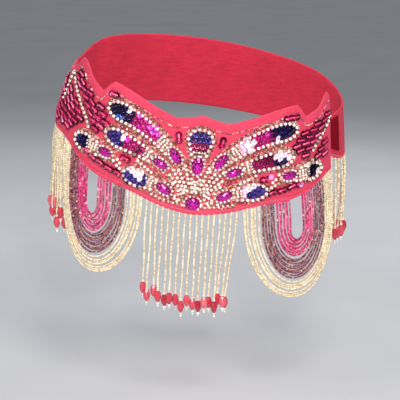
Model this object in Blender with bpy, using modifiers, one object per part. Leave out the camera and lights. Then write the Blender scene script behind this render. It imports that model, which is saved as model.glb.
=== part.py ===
"""Belly dance hip belt in its worn form: a stiff shaped band with a beaded fan, fringes and swags.

The belt is laid out on its flat pattern, in millimetres: x runs along the band from the centre front,
towards +X on the right, and y runs up from the middle of the band. wrap() puts a point of the pattern on
the worn ring. The origin is the middle of the ring, -Y is the front and +Z is up.
"""
import math

import bmesh
import bpy
import numpy as np
from mathutils import Euler, Vector

MM = 0.001

# The worn ring, as half sizes of its ellipse at y = 0, and the pose it is worn in.
HIP_HALF_WIDTH = 165.0
HIP_HALF_DEPTH = 108.0
INWARD_SLOPE = 0.2          # the ring narrows by this much for each millimetre up
FRONT_DROP = math.radians(15.0)
SIDE_DROP = math.radians(7.4)

# The cloth.
WALL = 2.6
SEAM_GAP = 0.3
COLUMN_STEP = 6.0
FRONT_ROWS = 6
BACK_ROWS = 4

# Where the pieces end along the band.
FRONT_LEFT_END = -236.0
FRONT_RIGHT_END = 169.0
TAB_END = 130.0             # the back panel's tab, under the front panel's right end
SHARED_END = 150.0          # both sides of the front have the same outline as far as this

# Outlines of the front panel: distance from the centre front, height, and 1 at a sharp corner.
TOP_EDGE = (
    (0.0, 64.0, 0), (14.0, 60.5, 0), (31.0, 57.5, 1), (52.0, 63.5, 0), (76.0, 71.0, 0),
    (92.0, 75.5, 0), (106.0, 78.5, 0), (115.0, 79.5, 1), (120.0, 75.0, 0), (127.0, 66.0, 1),
    (138.0, 69.5, 0), (SHARED_END, 75.5, 0),
)
TOP_EDGE_RIGHT_END = ((158.0, 84.0, 0), (164.0, 89.0, 1), (FRONT_RIGHT_END, 82.0, 0))
TOP_EDGE_LEFT_END = (
    (160.0, 83.0, 0), (170.0, 88.0, 0), (178.0, 88.0, 0), (188.0, 78.0, 0), (200.0, 70.0, 0),
    (217.0, 66.0, 0), (-FRONT_LEFT_END, 67.0, 0),
)
BOTTOM_EDGE = (
    (0.0, -40.5, 0), (20.0, -38.5, 0), (40.0, -34.5, 0), (60.0, -29.0, 0), (80.0, -25.0, 0),
    (100.0, -22.5, 0), (115.0, -19.0, 0), (130.0, -14.0, 0), (141.0, -9.0, 0), (SHARED_END, -4.5, 0),
)
BOTTOM_EDGE_RIGHT_END = ((160.0, 0.5, 0), (FRONT_RIGHT_END, 4.0, 0))
BOTTOM_EDGE_LEFT_END = ((162.0, 0.5, 0), (175.0, 3.0, 0), (200.0, 2.0, 0), (-FRONT_LEFT_END, 0.0, 0))

# The plain back panel, from its tab round the back to the left side seam: x, top, bottom, lift.
# Lift is how far its outer face stands out from the ring; the tab lies under the front panel.
BACK_PANEL = (
    (TAB_END, 50.0, 27.0, -2.9), (150.0, 55.0, 24.0, -2.9), (FRONT_RIGHT_END, 58.5, 18.0, -2.9),
    (190.0, 60.0, 9.0, -0.5), (217.0, 62.0, 5.0, 3.0), (245.0, 69.0, 3.0, 3.0), (280.0, 77.0, 0.0, 1.5),
    (340.0, 82.0, -3.0, 0.0), (433.0, 86.0, -4.0, 0.0), (530.0, 87.0, -3.0, 0.0), (580.0, 85.0, -2.0, 0.0),
    (600.0, 79.0, -1.5, 0.0), (616.0, 70.0, -0.5, 0.0), (630.5, 67.0, 0.0, 0.0),
)

# The hook-and-loop tape on the tab: its ends, and the margins it leaves above and below.
TAPE_START = 171.0
TAPE_END = 190.0
TAPE_TOP_MARGIN = 4.0
TAPE_BOTTOM_MARGIN = 6.0
TAPE_THICKNESS = 1.0

# The fan of petals, flat-backed pads with a raised rim: base, control point and tip of the spine,
# half width at the base and at the widest place, where along the spine that is, and how late it swells.
PETALS = {
    "center": ((0.0, 0.0), (0.0, 25.0), (0.0, 50.5), 6.5, 15.0, 0.74, 2.0),
    "upper": ((16.0, 6.0), (54.0, 50.0), (114.0, 53.5), 5.5, 10.5, 0.82, 1.0),
    "middle": ((30.0, 2.5), (62.0, 19.5), (110.0, 25.0), 4.8, 10.2, 0.78, 1.2),
    "lower": ((22.5, -24.5), (45.0, -13.5), (79.5, -12.5), 4.8, 10.0, 0.72, 1.4),
    "side": ((91.0, 1.5), (115.0, 4.0), (148.0, 8.0), 5.0, 10.0, 0.74, 1.2),
}
PETAL_STATIONS = 9
PETAL_FIELD = 1.2
PETAL_RIM = 2.0
RIM_WIDTH = 2.4
RIM_SLOPE = 0.6
RIM_SHARE = 0.4             # at most this much of the half width is rim, and slope
SLOPE_SHARE = 0.2
TIP_ROUNDNESS = 0.99

# The faceted gems: centre, length, width and angle of the length in degrees.
GEMS = {
    "center": ((0.0, 10.0), 18.5, 12.5, 90.0),
    "upper": ((25.0, 17.5), 19.5, 9.5, 50.0),
    "middle": ((40.0, 6.5), 17.5, 8.5, 20.0),
    "lower": ((32.0, -19.5), 18.0, 9.5, 24.0),
    "side": ((104.0, 3.5), 17.0, 9.0, 8.0),
}
JEWEL = ((0.0, -31.5), 15.5, 13.0, 0.0)
GEM_SIDES = 12
GEM_GIRDLE = 1.0
GEM_HEIGHT = 3.4
GEM_TABLE = 0.55

# The header tapes that the strands hang from, and the strands of beads.
TAPE_HEIGHT = 3.5
STRAND_RADIUS = 1.05
FLARE = 5.0                 # how far a strand swings out over the hip
FLARE_DEPTH = 20.0
STRAND_BENDS = (0.0, 12.0, 30.0, 60.0)
WELD_DISTANCE = 0.01

# The drop bead that ends a straight strand, with a small bead under it: distance down and radius.
DROP_BEAD = ((0.0, 1.05), (3.0, 2.9), (8.0, 3.7), (12.0, 2.4), (14.0, 0.9), (15.6, 1.5), (17.4, 0.6))

# Straight groups: number of strands, then x, length and lean along X of the first and last strand,
# extra lean gathered on the last strands, and how far alternate strands' ends stand apart.
CENTER_GROUP = (17, (-48.0, 48.0), (92.0, 92.0), (-5.0, -5.5), -8.5, 4.1)
LEFT_SIDE_GROUP = (9, (-174.0, -233.0), (96.0, 82.0), (1.0, -1.0), 0.0, 3.0)
RIGHT_SIDE_GROUP = (9, (175.0, 243.0), (76.0, 84.0), (-6.0, -8.0), 0.0, 3.0)
GATHER_FROM = 0.6           # the gathered strands start this far along their group
LENGTH_PATTERN = (0.0, 4.0, -2.0)

# The nested loops of a swag, inside out: number, inner roots, outer roots and depths below the band.
SWAG_COLOURS = {
    "pink": (5, (106.0, 91.0), (122.4, 135.2), (48.0, 66.0)),
    "brown": (5, (87.2, 74.4), (138.4, 151.2), (70.5, 91.0)),
    "ivory": (5, (70.5, 54.5), (154.2, 166.6), (95.5, 112.0)),
}
SWAG_CENTER = 115.0
BOW = 1.6                   # height of a loop's round bottom over half its width
SHORTEST_LEG = 6.0
LEG_BEND = 20.0             # how far down a leg bends to hang plumb
LOOP_TURNS = 9

SPAN_OF_TAPES = {
    "fringe_center": (-50.5, 50.5),
    "swag_left": (-169.0, -52.5),
    "swag_right": (52.5, 169.0),
    "fringe_side_left": (-235.0, -172.0),
    "fringe_side_right": (173.0, 246.0),
}

MATERIALS = {
    "coral_cloth": ((0.80, 0.06, 0.15), 0.75, 0.0),
    "loop_tape": ((0.30, 0.02, 0.05), 0.95, 0.0),
    "beaded_pad": ((0.80, 0.60, 0.55), 0.35, 0.3),
    "magenta_gem": ((0.60, 0.00, 0.35), 0.10, 0.2),
    "ivory_beads": ((0.80, 0.72, 0.55), 0.30, 0.0),
    "mixed_beads": ((0.75, 0.35, 0.45), 0.30, 0.0),
}


def arc_table():
    """Angle round the ellipse against distance along it from the centre front, for half the ring."""
    angles = np.linspace(0.0, math.pi, 2001)
    speed = np.hypot(HIP_HALF_WIDTH * np.cos(angles), HIP_HALF_DEPTH * np.sin(angles))
    steps = (speed[1:] + speed[:-1]) / 2 * np.diff(angles)
    return angles, np.concatenate(([0.0], np.cumsum(steps)))


ANGLES, DISTANCES = arc_table()
HALF_ROUND = float(DISTANCES[-1])


def angle_at(x):
    """Angle round the ring of a distance along the band, which may pass the centre back."""
    if abs(x) > HALF_ROUND:
        x -= math.copysign(2 * HALF_ROUND, x)
    return math.copysign(float(np.interp(abs(x), DISTANCES, ANGLES)), x)


def wrap(x, y, lift=0.0):
    """The pattern's point x, y on the upright ring, moved out by lift, in metres."""
    angle = angle_at(x)
    half_width = HIP_HALF_WIDTH - INWARD_SLOPE * y
    half_depth = HIP_HALF_DEPTH - INWARD_SLOPE * y
    along = Vector((half_width * math.cos(angle), half_depth * math.sin(angle), 0.0))
    up = Vector((-INWARD_SLOPE * math.sin(angle), INWARD_SLOPE * math.cos(angle), 1.0))
    point = Vector((half_width * math.sin(angle), -half_depth * math.cos(angle), y))
    return (point + along.cross(up).normalized() * lift) * MM


def outline(rows):
    """A height against distance through rows of (distance, height, corner): smooth, but for its corners."""
    places = [row[0] for row in rows]
    heights = [row[1] for row in rows]
    slopes = [(heights[i + 1] - heights[i]) / (places[i + 1] - places[i]) for i in range(len(rows) - 1)]

    def tangent(i, side):
        if i == 0 or i == len(rows) - 1 or rows[i][2]:
            return slopes[min(max(i + side, 0), len(slopes) - 1)]
        return (slopes[i - 1] + slopes[i]) / 2

    def height(x):
        i = int(np.clip(np.searchsorted(places, x) - 1, 0, len(slopes) - 1))
        step = places[i + 1] - places[i]
        t = (x - places[i]) / step
        start, end = tangent(i, 0) * step, tangent(i + 1, -1) * step
        return (heights[i] * (1 + 2 * t) * (1 - t) ** 2 + start * t * (1 - t) ** 2
                + heights[i + 1] * t * t * (3 - 2 * t) + end * t * t * (t - 1))

    return height


FRONT_TOP_RIGHT = outline(TOP_EDGE + TOP_EDGE_RIGHT_END)
FRONT_TOP_LEFT = outline(TOP_EDGE + TOP_EDGE_LEFT_END)
FRONT_BOTTOM_RIGHT = outline(BOTTOM_EDGE + BOTTOM_EDGE_RIGHT_END)
FRONT_BOTTOM_LEFT = outline(BOTTOM_EDGE + BOTTOM_EDGE_LEFT_END)
BACK_TOP = outline([(x, top, 0) for x, top, bottom, lift in BACK_PANEL])
BACK_BOTTOM = outline([(x, bottom, 0) for x, top, bottom, lift in BACK_PANEL])
BACK_LIFT = outline([(x, lift, 0) for x, top, bottom, lift in BACK_PANEL])


def front_top(x):
    return FRONT_TOP_RIGHT(x) if x > 0 else FRONT_TOP_LEFT(-x)


def front_bottom(x):
    return FRONT_BOTTOM_RIGHT(x) if x > 0 else FRONT_BOTTOM_LEFT(-x)


def flat(x):
    return 0.0


def columns(start, end, corners=()):
    """Places from start to end about COLUMN_STEP apart, with one on each corner."""
    count = max(2, round((end - start) / COLUMN_STEP))
    inner = [c for c in corners if start < c < end]
    even = [start + (end - start) * i / count for i in range(1, count)]
    even = [x for x in even if all(abs(x - c) > COLUMN_STEP / 2 for c in inner)]
    return sorted([start, end] + inner + even)


def new_object(name, mesh, material, parent=None):
    obj = bpy.data.objects.new(name, mesh)
    mesh.materials.append(bpy.data.materials[material])
    belt_collection.objects.link(obj)
    obj.parent = parent
    return obj


def band_mesh(name, places, rows, low, high, lift):
    """An open sheet of the band between the low and high outlines, as a grid moved onto the ring."""
    bm = bmesh.new()
    last = len(places) - 1
    bmesh.ops.create_grid(bm, x_segments=last, y_segments=rows, size=0.5)
    for vert in bm.verts:
        x = places[round((vert.co.x + 0.5) * last)]
        y = low(x) + (high(x) - low(x)) * (vert.co.y + 0.5)
        vert.co = wrap(x, y, lift(x))
    mesh = bpy.data.meshes.new(name)
    bm.to_mesh(mesh)
    bm.free()
    mesh.shade_smooth()
    return mesh


def add_wall(obj, thickness):
    """Thickens a sheet inwards from its outer face."""
    wall = obj.modifiers.new("wall", "SOLIDIFY")
    wall.thickness = thickness * MM
    wall.offset = -1.0
    wall.use_even_offset = True
    return wall


def add_panels(pose):
    corners = [sign * x for x, height, corner in TOP_EDGE + TOP_EDGE_RIGHT_END if corner for sign in (-1, 1)]
    places = columns(FRONT_LEFT_END, FRONT_RIGHT_END, corners)
    mesh = band_mesh("front_panel", places, FRONT_ROWS, front_bottom, front_top, flat)
    add_wall(new_object("front_panel", mesh, "coral_cloth", pose), WALL)

    seam = 2 * HALF_ROUND + FRONT_LEFT_END - SEAM_GAP
    places = columns(TAB_END, FRONT_RIGHT_END) + columns(FRONT_RIGHT_END, seam, (217.0, 245.0))[1:]
    mesh = band_mesh("back_panel", places, BACK_ROWS, BACK_BOTTOM, BACK_TOP, BACK_LIFT)
    add_wall(new_object("back_panel", mesh, "coral_cloth", pose), WALL)

    mesh = band_mesh(
        "closure_tape", columns(TAPE_START, TAPE_END), BACK_ROWS,
        lambda x: BACK_BOTTOM(x) + TAPE_BOTTOM_MARGIN, lambda x: BACK_TOP(x) - TAPE_TOP_MARGIN,
        lambda x: BACK_LIFT(x) + SEAM_GAP + TAPE_THICKNESS)
    add_wall(new_object("closure_tape", mesh, "loop_tape", pose), TAPE_THICKNESS)


def loft(name, rings):
    """A closed solid through rings of the same number of points, with a flat face on each end."""
    bm = bmesh.new()
    rows = [[bm.verts.new(point) for point in ring] for ring in rings]
    count = len(rows[0])
    for low, high in zip(rows, rows[1:]):
        for i in range(count):
            j = (i + 1) % count
            bm.faces.new((low[i], low[j], high[j], high[i]))
    bm.faces.new(list(reversed(rows[0])))
    bm.faces.new(rows[-1])
    bmesh.ops.recalc_face_normals(bm, faces=bm.faces)
    mesh = bpy.data.meshes.new(name)
    bm.to_mesh(mesh)
    bm.free()
    return mesh


def petal_rings(base, control, tip, base_half, widest_half, widest_at, swelling, side):
    """Cross-sections of a petal along its spine, raised at the rim and flat at the back."""
    base, control, tip = (Vector((side * p[0], p[1])) for p in (base, control, tip))
    rings = []
    for i in range(PETAL_STATIONS):
        # Stations bunch up towards the round tip.
        t = math.sin(math.radians(90.0) * i / (PETAL_STATIONS - 1)) * TIP_ROUNDNESS
        if t < widest_at:
            half = base_half + (widest_half - base_half) * (t / widest_at) ** swelling
        else:
            half = widest_half * math.sqrt(1 - ((t - widest_at) / (1 - widest_at)) ** 2)
        middle = base * (1 - t) ** 2 + control * 2 * t * (1 - t) + tip * t * t
        along = ((control - base) * (1 - t) + (tip - control) * t).normalized()
        across = Vector((-along.y, along.x))
        at_end = i in (0, PETAL_STATIONS - 1)
        field = PETAL_RIM if at_end else PETAL_FIELD
        rim = min(RIM_WIDTH, half * RIM_SHARE)
        inner = half - rim - min(RIM_SLOPE, half * SLOPE_SHARE)
        section = (
            (half, 0.0), (half, PETAL_RIM), (half - rim, PETAL_RIM), (inner, field), (0.0, field),
            (-inner, field), (rim - half, PETAL_RIM), (-half, PETAL_RIM), (-half, 0.0), (0.0, 0.0),
        )
        points = [(middle + across * offset, height) for offset, height in section]
        rings.append([wrap(point.x, point.y, SEAM_GAP + height) for point, height in points])
    return rings


def add_petals(pose):
    for name, shape in PETALS.items():
        sides = {"": 1} if name == "center" else {"_left": -1, "_right": 1}
        for suffix, side in sides.items():
            full_name = "petal_" + name + suffix
            new_object(full_name, loft(full_name, petal_rings(*shape, side)), "beaded_pad", pose)


def add_gem(name, centre, length, width, degrees, side, seat, pose):
    """A flat-backed faceted oval stone, lying on the band's tangent plane at a height above it."""
    x, y = side * centre[0], centre[1]
    origin = wrap(x, y, seat)
    along_band = (wrap(x + 1.0, y, seat) - wrap(x - 1.0, y, seat)).normalized()
    up_band = (wrap(x, y + 1.0, seat) - wrap(x, y - 1.0, seat)).normalized()
    outward = along_band.cross(up_band).normalized()
    turn = math.radians(degrees) * side
    long_way = along_band * math.cos(turn) * side + up_band * math.sin(turn) * side
    wide_way = outward.cross(long_way)
    rings = []
    for height, size in ((0.0, 1.0), (GEM_GIRDLE, 1.0), (GEM_HEIGHT, GEM_TABLE)):
        ring = []
        for i in range(GEM_SIDES):
            angle = 2 * math.pi * i / GEM_SIDES
            spot = long_way * (length / 2 * math.cos(angle)) + wide_way * (width / 2 * math.sin(angle))
            ring.append(origin + (spot * size + outward * height) * MM)
        rings.append(ring)
    new_object(name, loft(name, rings), "magenta_gem", pose)


def add_gems(pose):
    on_rim = SEAM_GAP + PETAL_RIM + SEAM_GAP
    for name, shape in GEMS.items():
        sides = {"": 1} if name == "center" else {"_left": -1, "_right": 1}
        for suffix, side in sides.items():
            add_gem("gem_" + name + suffix, *shape, side, on_rim, pose)
    add_gem("jewel_base", *JEWEL, 1, SEAM_GAP, pose)


def tape_top(x):
    """The edge that a header tape hangs from, just below the panel that carries it."""
    return (BACK_BOTTOM(x) if x > FRONT_RIGHT_END else front_bottom(x)) - SEAM_GAP


def tape_lift(x):
    return BACK_LIFT(x) if x > FRONT_RIGHT_END else 0.0


def root(x, pose):
    """A strand's root in world space, in the middle of the header tape, and the way out from the hip."""
    y = tape_top(x) - TAPE_HEIGHT / 2
    point = pose @ wrap(x, y, tape_lift(x) - WALL / 2)
    out = pose.to_3x3() @ (wrap(x, y, 1.0) - wrap(x, y, 0.0))
    out.z = 0.0
    return point, out.normalized()


def blend(ends, part):
    """Part of the way from the first to the second of two values."""
    return ends[0] + (ends[1] - ends[0]) * part


def swing(depth):
    """How far out a strand hangs at a depth below its root, in millimetres."""
    return FLARE * (1 - math.exp(-depth / FLARE_DEPTH))


def straight_strands(group, pose):
    """Centre lines and radii of a group of hanging strands, each with its drop bead."""
    count, places, lengths, leans, gather, apart = group
    strands = []
    for i in range(count):
        part = i / (count - 1)
        start, out = root(blend(places, part), pose)
        lean = blend(leans, part) + gather * (max(0.0, part - GATHER_FROM) / (1 - GATHER_FROM)) ** 2
        spread = apart if i % 2 else -apart
        reach = blend(lengths, part) + LENGTH_PATTERN[i % len(LENGTH_PATTERN)]
        rows = [(depth, STRAND_RADIUS) for depth in STRAND_BENDS]
        rows += [(reach + down, radius) for down, radius in DROP_BEAD]
        strand = []
        for depth, radius in rows:
            fall = min(1.0, depth / reach)
            offset = Vector((lean * fall, 0.0, -depth)) + out * (swing(depth) + spread * fall * fall)
            strand.append((start + offset * MM, radius))
        strands.append(strand)
    return strands


def loop_strand(inner, outer, depth, side, pose):
    """The centre line of one loop of a swag: two plumb legs and a half ellipse, following the hip."""
    ends = (side * inner, side * outer)
    tops = [root(x, pose)[0].z / MM for x in ends]
    lowest = root(side * SWAG_CENTER, pose)[0].z / MM - depth
    bow = min(BOW * (outer - inner) / 2, min(tops) - lowest - SHORTEST_LEG)

    def leg(i):
        bends = (0.0, LEG_BEND) if tops[i] - LEG_BEND > lowest + bow else (0.0,)
        return [(float(i), tops[i] - down) for down in bends]

    rows = leg(0)
    for i in range(LOOP_TURNS + 1):
        angle = math.pi * i / LOOP_TURNS
        rows.append(((1 - math.cos(angle)) / 2, lowest + bow * (1 - math.sin(angle))))
    rows += reversed(leg(1))

    strand = []
    for part, z in rows:
        point, out = root(blend(ends, part), pose)
        spot = Vector((point.x, point.y, z * MM)) + out * swing(blend(tops, part) - z) * MM
        strand.append((spot, STRAND_RADIUS))
    return strand


def swag_strands(side, pose):
    strands = []
    for count, inner_roots, outer_roots, depths in SWAG_COLOURS.values():
        for i in range(count):
            part = i / (count - 1)
            sizes = (blend(inner_roots, part), blend(outer_roots, part), blend(depths, part))
            strands.append(loop_strand(*sizes, side, pose))
    return strands


def strands_object(name, strands):
    """All strands of a group as one mesh of four-sided tubes."""
    curve = bpy.data.curves.new(name, "CURVE")
    curve.dimensions = "3D"
    curve.bevel_depth = MM
    curve.bevel_resolution = 0
    curve.use_fill_caps = True
    for strand in strands:
        spline = curve.splines.new("POLY")
        spline.points.add(len(strand) - 1)
        for spot, (point, radius) in zip(spline.points, strand):
            spot.co = (*point, 1.0)
            spot.radius = radius
    tubes = bpy.data.objects.new(name + "_curve", curve)
    cutter_collection.objects.link(tubes)
    graph = bpy.context.evaluated_depsgraph_get()
    mesh = bpy.data.meshes.new_from_object(tubes.evaluated_get(graph))
    bm = bmesh.new()
    bm.from_mesh(mesh)
    bmesh.ops.remove_doubles(bm, verts=bm.verts, dist=WELD_DISTANCE * MM)
    bmesh.ops.recalc_face_normals(bm, faces=bm.faces)
    bm.to_mesh(mesh)
    bm.free()
    joined = bpy.data.objects.new(name + "_strands", mesh)
    joined.matrix_world = tubes.matrix_world
    bpy.data.objects.remove(tubes)
    cutter_collection.objects.link(joined)
    joined.hide_render = True
    joined.display_type = "WIRE"
    return joined


def add_fringe(name, strands, material, pose_empty):
    """A header tape under the band's edge with its strands fused to it."""
    start, end = SPAN_OF_TAPES[name]
    mesh = band_mesh(name, columns(start, end), 1, lambda x: tape_top(x) - TAPE_HEIGHT, tape_top, tape_lift)
    tape = new_object(name, mesh, material, pose_empty)
    add_wall(tape, WALL)
    fuse = tape.modifiers.new("strands", "BOOLEAN")
    fuse.operation = "UNION"
    fuse.solver = "EXACT"
    fuse.use_self = True
    fuse.object = strands_object(name, strands)


def add_fringes(pose_empty):
    pose = Euler((FRONT_DROP, SIDE_DROP, 0.0)).to_matrix().to_4x4()
    add_fringe("fringe_center", straight_strands(CENTER_GROUP, pose), "ivory_beads", pose_empty)
    add_fringe("fringe_side_left", straight_strands(LEFT_SIDE_GROUP, pose), "ivory_beads", pose_empty)
    add_fringe("fringe_side_right", straight_strands(RIGHT_SIDE_GROUP, pose), "ivory_beads", pose_empty)
    add_fringe("swag_left", swag_strands(-1, pose), "mixed_beads", pose_empty)
    add_fringe("swag_right", swag_strands(1, pose), "mixed_beads", pose_empty)


def add_materials():
    for name, (colour, roughness, metallic) in MATERIALS.items():
        material = bpy.data.materials.new(name)
        material.use_nodes = True
        shader = material.node_tree.nodes["Principled BSDF"]
        shader.inputs["Base Color"].default_value = (*colour, 1.0)
        shader.inputs["Roughness"].default_value = roughness
        shader.inputs["Metallic"].default_value = metallic


for old in list(bpy.data.objects):
    bpy.data.objects.remove(old)
belt_collection = bpy.data.collections.new("hip_belt")
cutter_collection = bpy.data.collections.new("strands")
bpy.context.scene.collection.children.link(belt_collection)
bpy.context.scene.collection.children.link(cutter_collection)

add_materials()
worn_pose = bpy.data.objects.new("worn_pose", None)
worn_pose.rotation_euler = (FRONT_DROP, SIDE_DROP, 0.0)
belt_collection.objects.link(worn_pose)
bpy.context.view_layer.update()

add_panels(worn_pose)
add_petals(worn_pose)
add_gems(worn_pose)
add_fringes(worn_pose)
bpy.context.view_layer.update()
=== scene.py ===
"""Looks of the belly dance hip belt: cloth, beaded fan, sequins, stones and bead strands on the fixed frame.

Lengths are in millimetres on the belt's flat pattern, as in the frame's solids: x runs along the band from
the centre front, y runs up, and lift stands out from the ring. Meshes are made in metres.
"""
import math

import bmesh
import bpy
import numpy as np
from mathutils import Euler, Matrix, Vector


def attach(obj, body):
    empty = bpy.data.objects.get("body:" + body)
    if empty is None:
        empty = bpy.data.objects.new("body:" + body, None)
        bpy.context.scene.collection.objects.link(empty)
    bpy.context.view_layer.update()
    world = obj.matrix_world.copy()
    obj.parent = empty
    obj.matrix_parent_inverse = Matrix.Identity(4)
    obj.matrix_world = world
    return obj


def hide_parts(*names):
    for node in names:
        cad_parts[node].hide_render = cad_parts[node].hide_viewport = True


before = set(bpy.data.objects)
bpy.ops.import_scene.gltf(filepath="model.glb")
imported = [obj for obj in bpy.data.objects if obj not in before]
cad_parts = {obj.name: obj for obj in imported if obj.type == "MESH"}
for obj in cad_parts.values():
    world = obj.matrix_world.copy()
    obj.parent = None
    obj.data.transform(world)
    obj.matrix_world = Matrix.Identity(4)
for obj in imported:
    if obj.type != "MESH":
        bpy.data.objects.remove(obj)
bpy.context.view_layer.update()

MM = 0.001

# The worn ring and its pose.
HIP_HALF_WIDTH = 165.0
HIP_HALF_DEPTH = 108.0
INWARD_SLOPE = 0.2
FRONT_DROP = math.radians(15.0)
SIDE_DROP = math.radians(7.4)
POSE = np.array(Euler((FRONT_DROP, SIDE_DROP, 0.0)).to_matrix())

# The cloth.
WALL = 2.6
SEAM_GAP = 0.3
FRONT_LEFT_END = -236.0
FRONT_RIGHT_END = 169.0
TAB_END = 130.0
SHARED_END = 150.0

# Outlines of the front panel: distance from the centre front, height, and 1 at a sharp corner.
TOP_EDGE = (
    (0, 64, 0), (14, 60.5, 0), (31, 57.5, 1), (52, 63.5, 0), (76, 71, 0),
    (92, 75.5, 0), (106, 78.5, 0), (115, 79.5, 1), (120, 75, 0), (127, 66, 1),
    (138, 69.5, 0), (SHARED_END, 75.5, 0),
)
TOP_EDGE_RIGHT_END = ((158, 84, 0), (164, 89, 1), (FRONT_RIGHT_END, 82, 0))
TOP_EDGE_LEFT_END = (
    (160, 83, 0), (170, 88, 0), (178, 88, 0), (188, 78, 0), (200, 70, 0),
    (217, 66, 0), (-FRONT_LEFT_END, 67, 0),
)
BOTTOM_EDGE = (
    (0, -40.5, 0), (20, -38.5, 0), (40, -34.5, 0), (60, -29, 0), (80, -25, 0),
    (100, -22.5, 0), (115, -19, 0), (130, -14, 0), (141, -9, 0), (SHARED_END, -4.5, 0),
)
BOTTOM_EDGE_RIGHT_END = ((160, 0.5, 0), (FRONT_RIGHT_END, 4, 0))
BOTTOM_EDGE_LEFT_END = ((162, 0.5, 0), (175, 3, 0), (200, 2, 0), (-FRONT_LEFT_END, 0, 0))

# The plain back panel: x, top, bottom, lift.
BACK_PANEL = (
    (TAB_END, 50, 27, -2.9), (150, 55, 24, -2.9), (FRONT_RIGHT_END, 58.5, 18, -2.9),
    (190, 60, 9, -0.5), (217, 62, 5, 3), (245, 69, 3, 3), (280, 77, 0, 1.5),
    (340, 82, -3, 0), (433, 86, -4, 0), (530, 87, -3, 0), (580, 85, -2, 0),
    (600, 79, -1.5, 0), (616, 70, -0.5, 0), (630.5, 67, 0, 0),
)
TAPE_START = 171.0
TAPE_END = 190.0
TAPE_TOP_MARGIN = 4.0
TAPE_BOTTOM_MARGIN = 6.0
TAPE_THICKNESS = 1.0

# The fan of petals: base, control point and tip of the spine, half width at the base and at the widest
# place, where along the spine that is, and how late it swells.
PETALS = {
    "center": ((0.0, 0.0), (0.0, 25.0), (0.0, 50.5), 6.5, 15.0, 0.74, 2.0),
    "upper": ((16.0, 6.0), (54.0, 50.0), (114.0, 53.5), 5.5, 10.5, 0.82, 1.0),
    "middle": ((30.0, 2.5), (62.0, 19.5), (110.0, 25.0), 4.8, 10.2, 0.78, 1.2),
    "lower": ((22.5, -24.5), (45.0, -13.5), (79.5, -12.5), 4.8, 10.0, 0.72, 1.4),
    "side": ((91.0, 1.5), (115.0, 4.0), (148.0, 8.0), 5.0, 10.0, 0.74, 1.2),
}
PETAL_FIELD = 1.2
PETAL_RIM = 2.0
RIM_WIDTH = 2.4

# The stones: centre, length, width and angle of the length in degrees.
GEMS = {
    "center": ((0.0, 10.0), 18.5, 12.5, 90.0),
    "upper": ((25.0, 17.5), 19.5, 9.5, 50.0),
    "middle": ((40.0, 6.5), 17.5, 8.5, 20.0),
    "lower": ((32.0, -19.5), 18.0, 9.5, 24.0),
    "side": ((104.0, 3.5), 17.0, 9.0, 8.0),
}
JEWEL = ((0.0, -31.5), 15.5, 13.0, 0.0)
GEM_GIRDLE = 1.0
GEM_HEIGHT = 3.4
STONE_SIDES = 16

# The header tapes and the strands.
TAPE_HEIGHT = 3.5
FLARE = 5.0
FLARE_DEPTH = 20.0
CENTER_GROUP = (17, (-48.0, 48.0), (92.0, 92.0), (-5.0, -5.5), -8.5, 4.1)
LEFT_SIDE_GROUP = (9, (-174.0, -233.0), (96.0, 82.0), (1.0, -1.0), 0.0, 3.0)
RIGHT_SIDE_GROUP = (9, (175.0, 243.0), (76.0, 84.0), (-6.0, -8.0), 0.0, 3.0)
MORE_LEFT_STRANDS = (0.5, 1.5, 2.5, 4.5, 6.5)
GATHER_FROM = 0.6
LENGTH_PATTERN = (0.0, 4.0, -2.0)
SWAG_COLOURS = {
    "pink": (5, (106.0, 91.0), (122.4, 135.2), (48.0, 66.0)),
    "brown": (5, (87.2, 74.4), (138.4, 151.2), (70.5, 91.0)),
    "ivory": (5, (70.5, 54.5), (154.2, 166.6), (95.5, 112.0)),
}
BACK_LOOP_SETBACK = 1.3
SWAG_CENTER = 115.0
BOW = 1.6
SHORTEST_LEG = 6.0
SPAN_OF_TAPES = {
    "fringe_center": (-51.4, 51.4),
    "swag_left": (-170.4, -51.6),
    "swag_right": (51.6, 169.0),
    "fringe_side_left": (-235.0, -170.6),
    "fringe_side_right": (173.0, 246.0),
}

# Beads, sequins and stitches.
SEED_PITCH = 2.05
SEED_RADIUS = 1.14
FRINGE_SEED_RADIUS = 1.26
RIM_BEAD_RADIUS = 1.85
RIM_BEAD_PITCH = 5.6
ROW_BEAD_RADIUS = 1.75
ROW_BEAD_PITCH = 4.8
SPACER_RADIUS = 0.85
FILLING_RADIUS = 0.98
JEWEL_BEAD_RADIUS = 1.5
JEWEL_BEAD_REACH = 27.0
EDGE_BEAD_RADIUS = 0.8
EDGE_BEAD_PITCH = 2.1
TOP_MARGIN = 10.5
SEQUIN_RADIUS = 4.2
PAILLETTE_RADIUS = 3.9
PAILLETTE_SHIFT = 3.0
BUGLE_LENGTH = 8.6
BUGLE_RADIUS = 1.1
GEM_RING_GROWTH = 1.35
GEM_RING_STEP = 2.1
GEM_RING_RADIUS = 1.3
PALE_BEAD_RADIUS = 1.4
PALE_BEAD_PITCH = 3.9
PALE_ROW_STEP = 3.0
EDGE_CLEARANCE = 1.2
DROP_GLOW = 0.15
FRONT_HEM = (9.0, 3.4)
BACK_HEM = (5.0, 5.0)
# Keeps a direction's level part, and a direction that no strand runs in.
LEVEL = (1.0, 1.0, 0.0)
ASKEW = (0.31, -0.9, 0.3)

# The photograph's camera: distance from the ring's middle, height of view, and where that middle shows.
CAMERA_DISTANCE = 1.7
CAMERA_ELEVATION = math.radians(8.0)
FOCAL_PIXELS = 1487.0
IMAGE_PIXELS = 400
RING_MIDDLE_PIXEL = (199.6, 135.9)
SENSOR = 36.0
FLOOR_LEVEL = -0.30


def srgb(red, green, blue):
    """A colour given as 0 to 255 on a screen, as the linear values that shaders take."""
    return tuple((v / 255 / 12.92) if v / 255 <= 0.04045 else ((v / 255 + 0.055) / 1.055) ** 2.4
                 for v in (red, green, blue))


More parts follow.
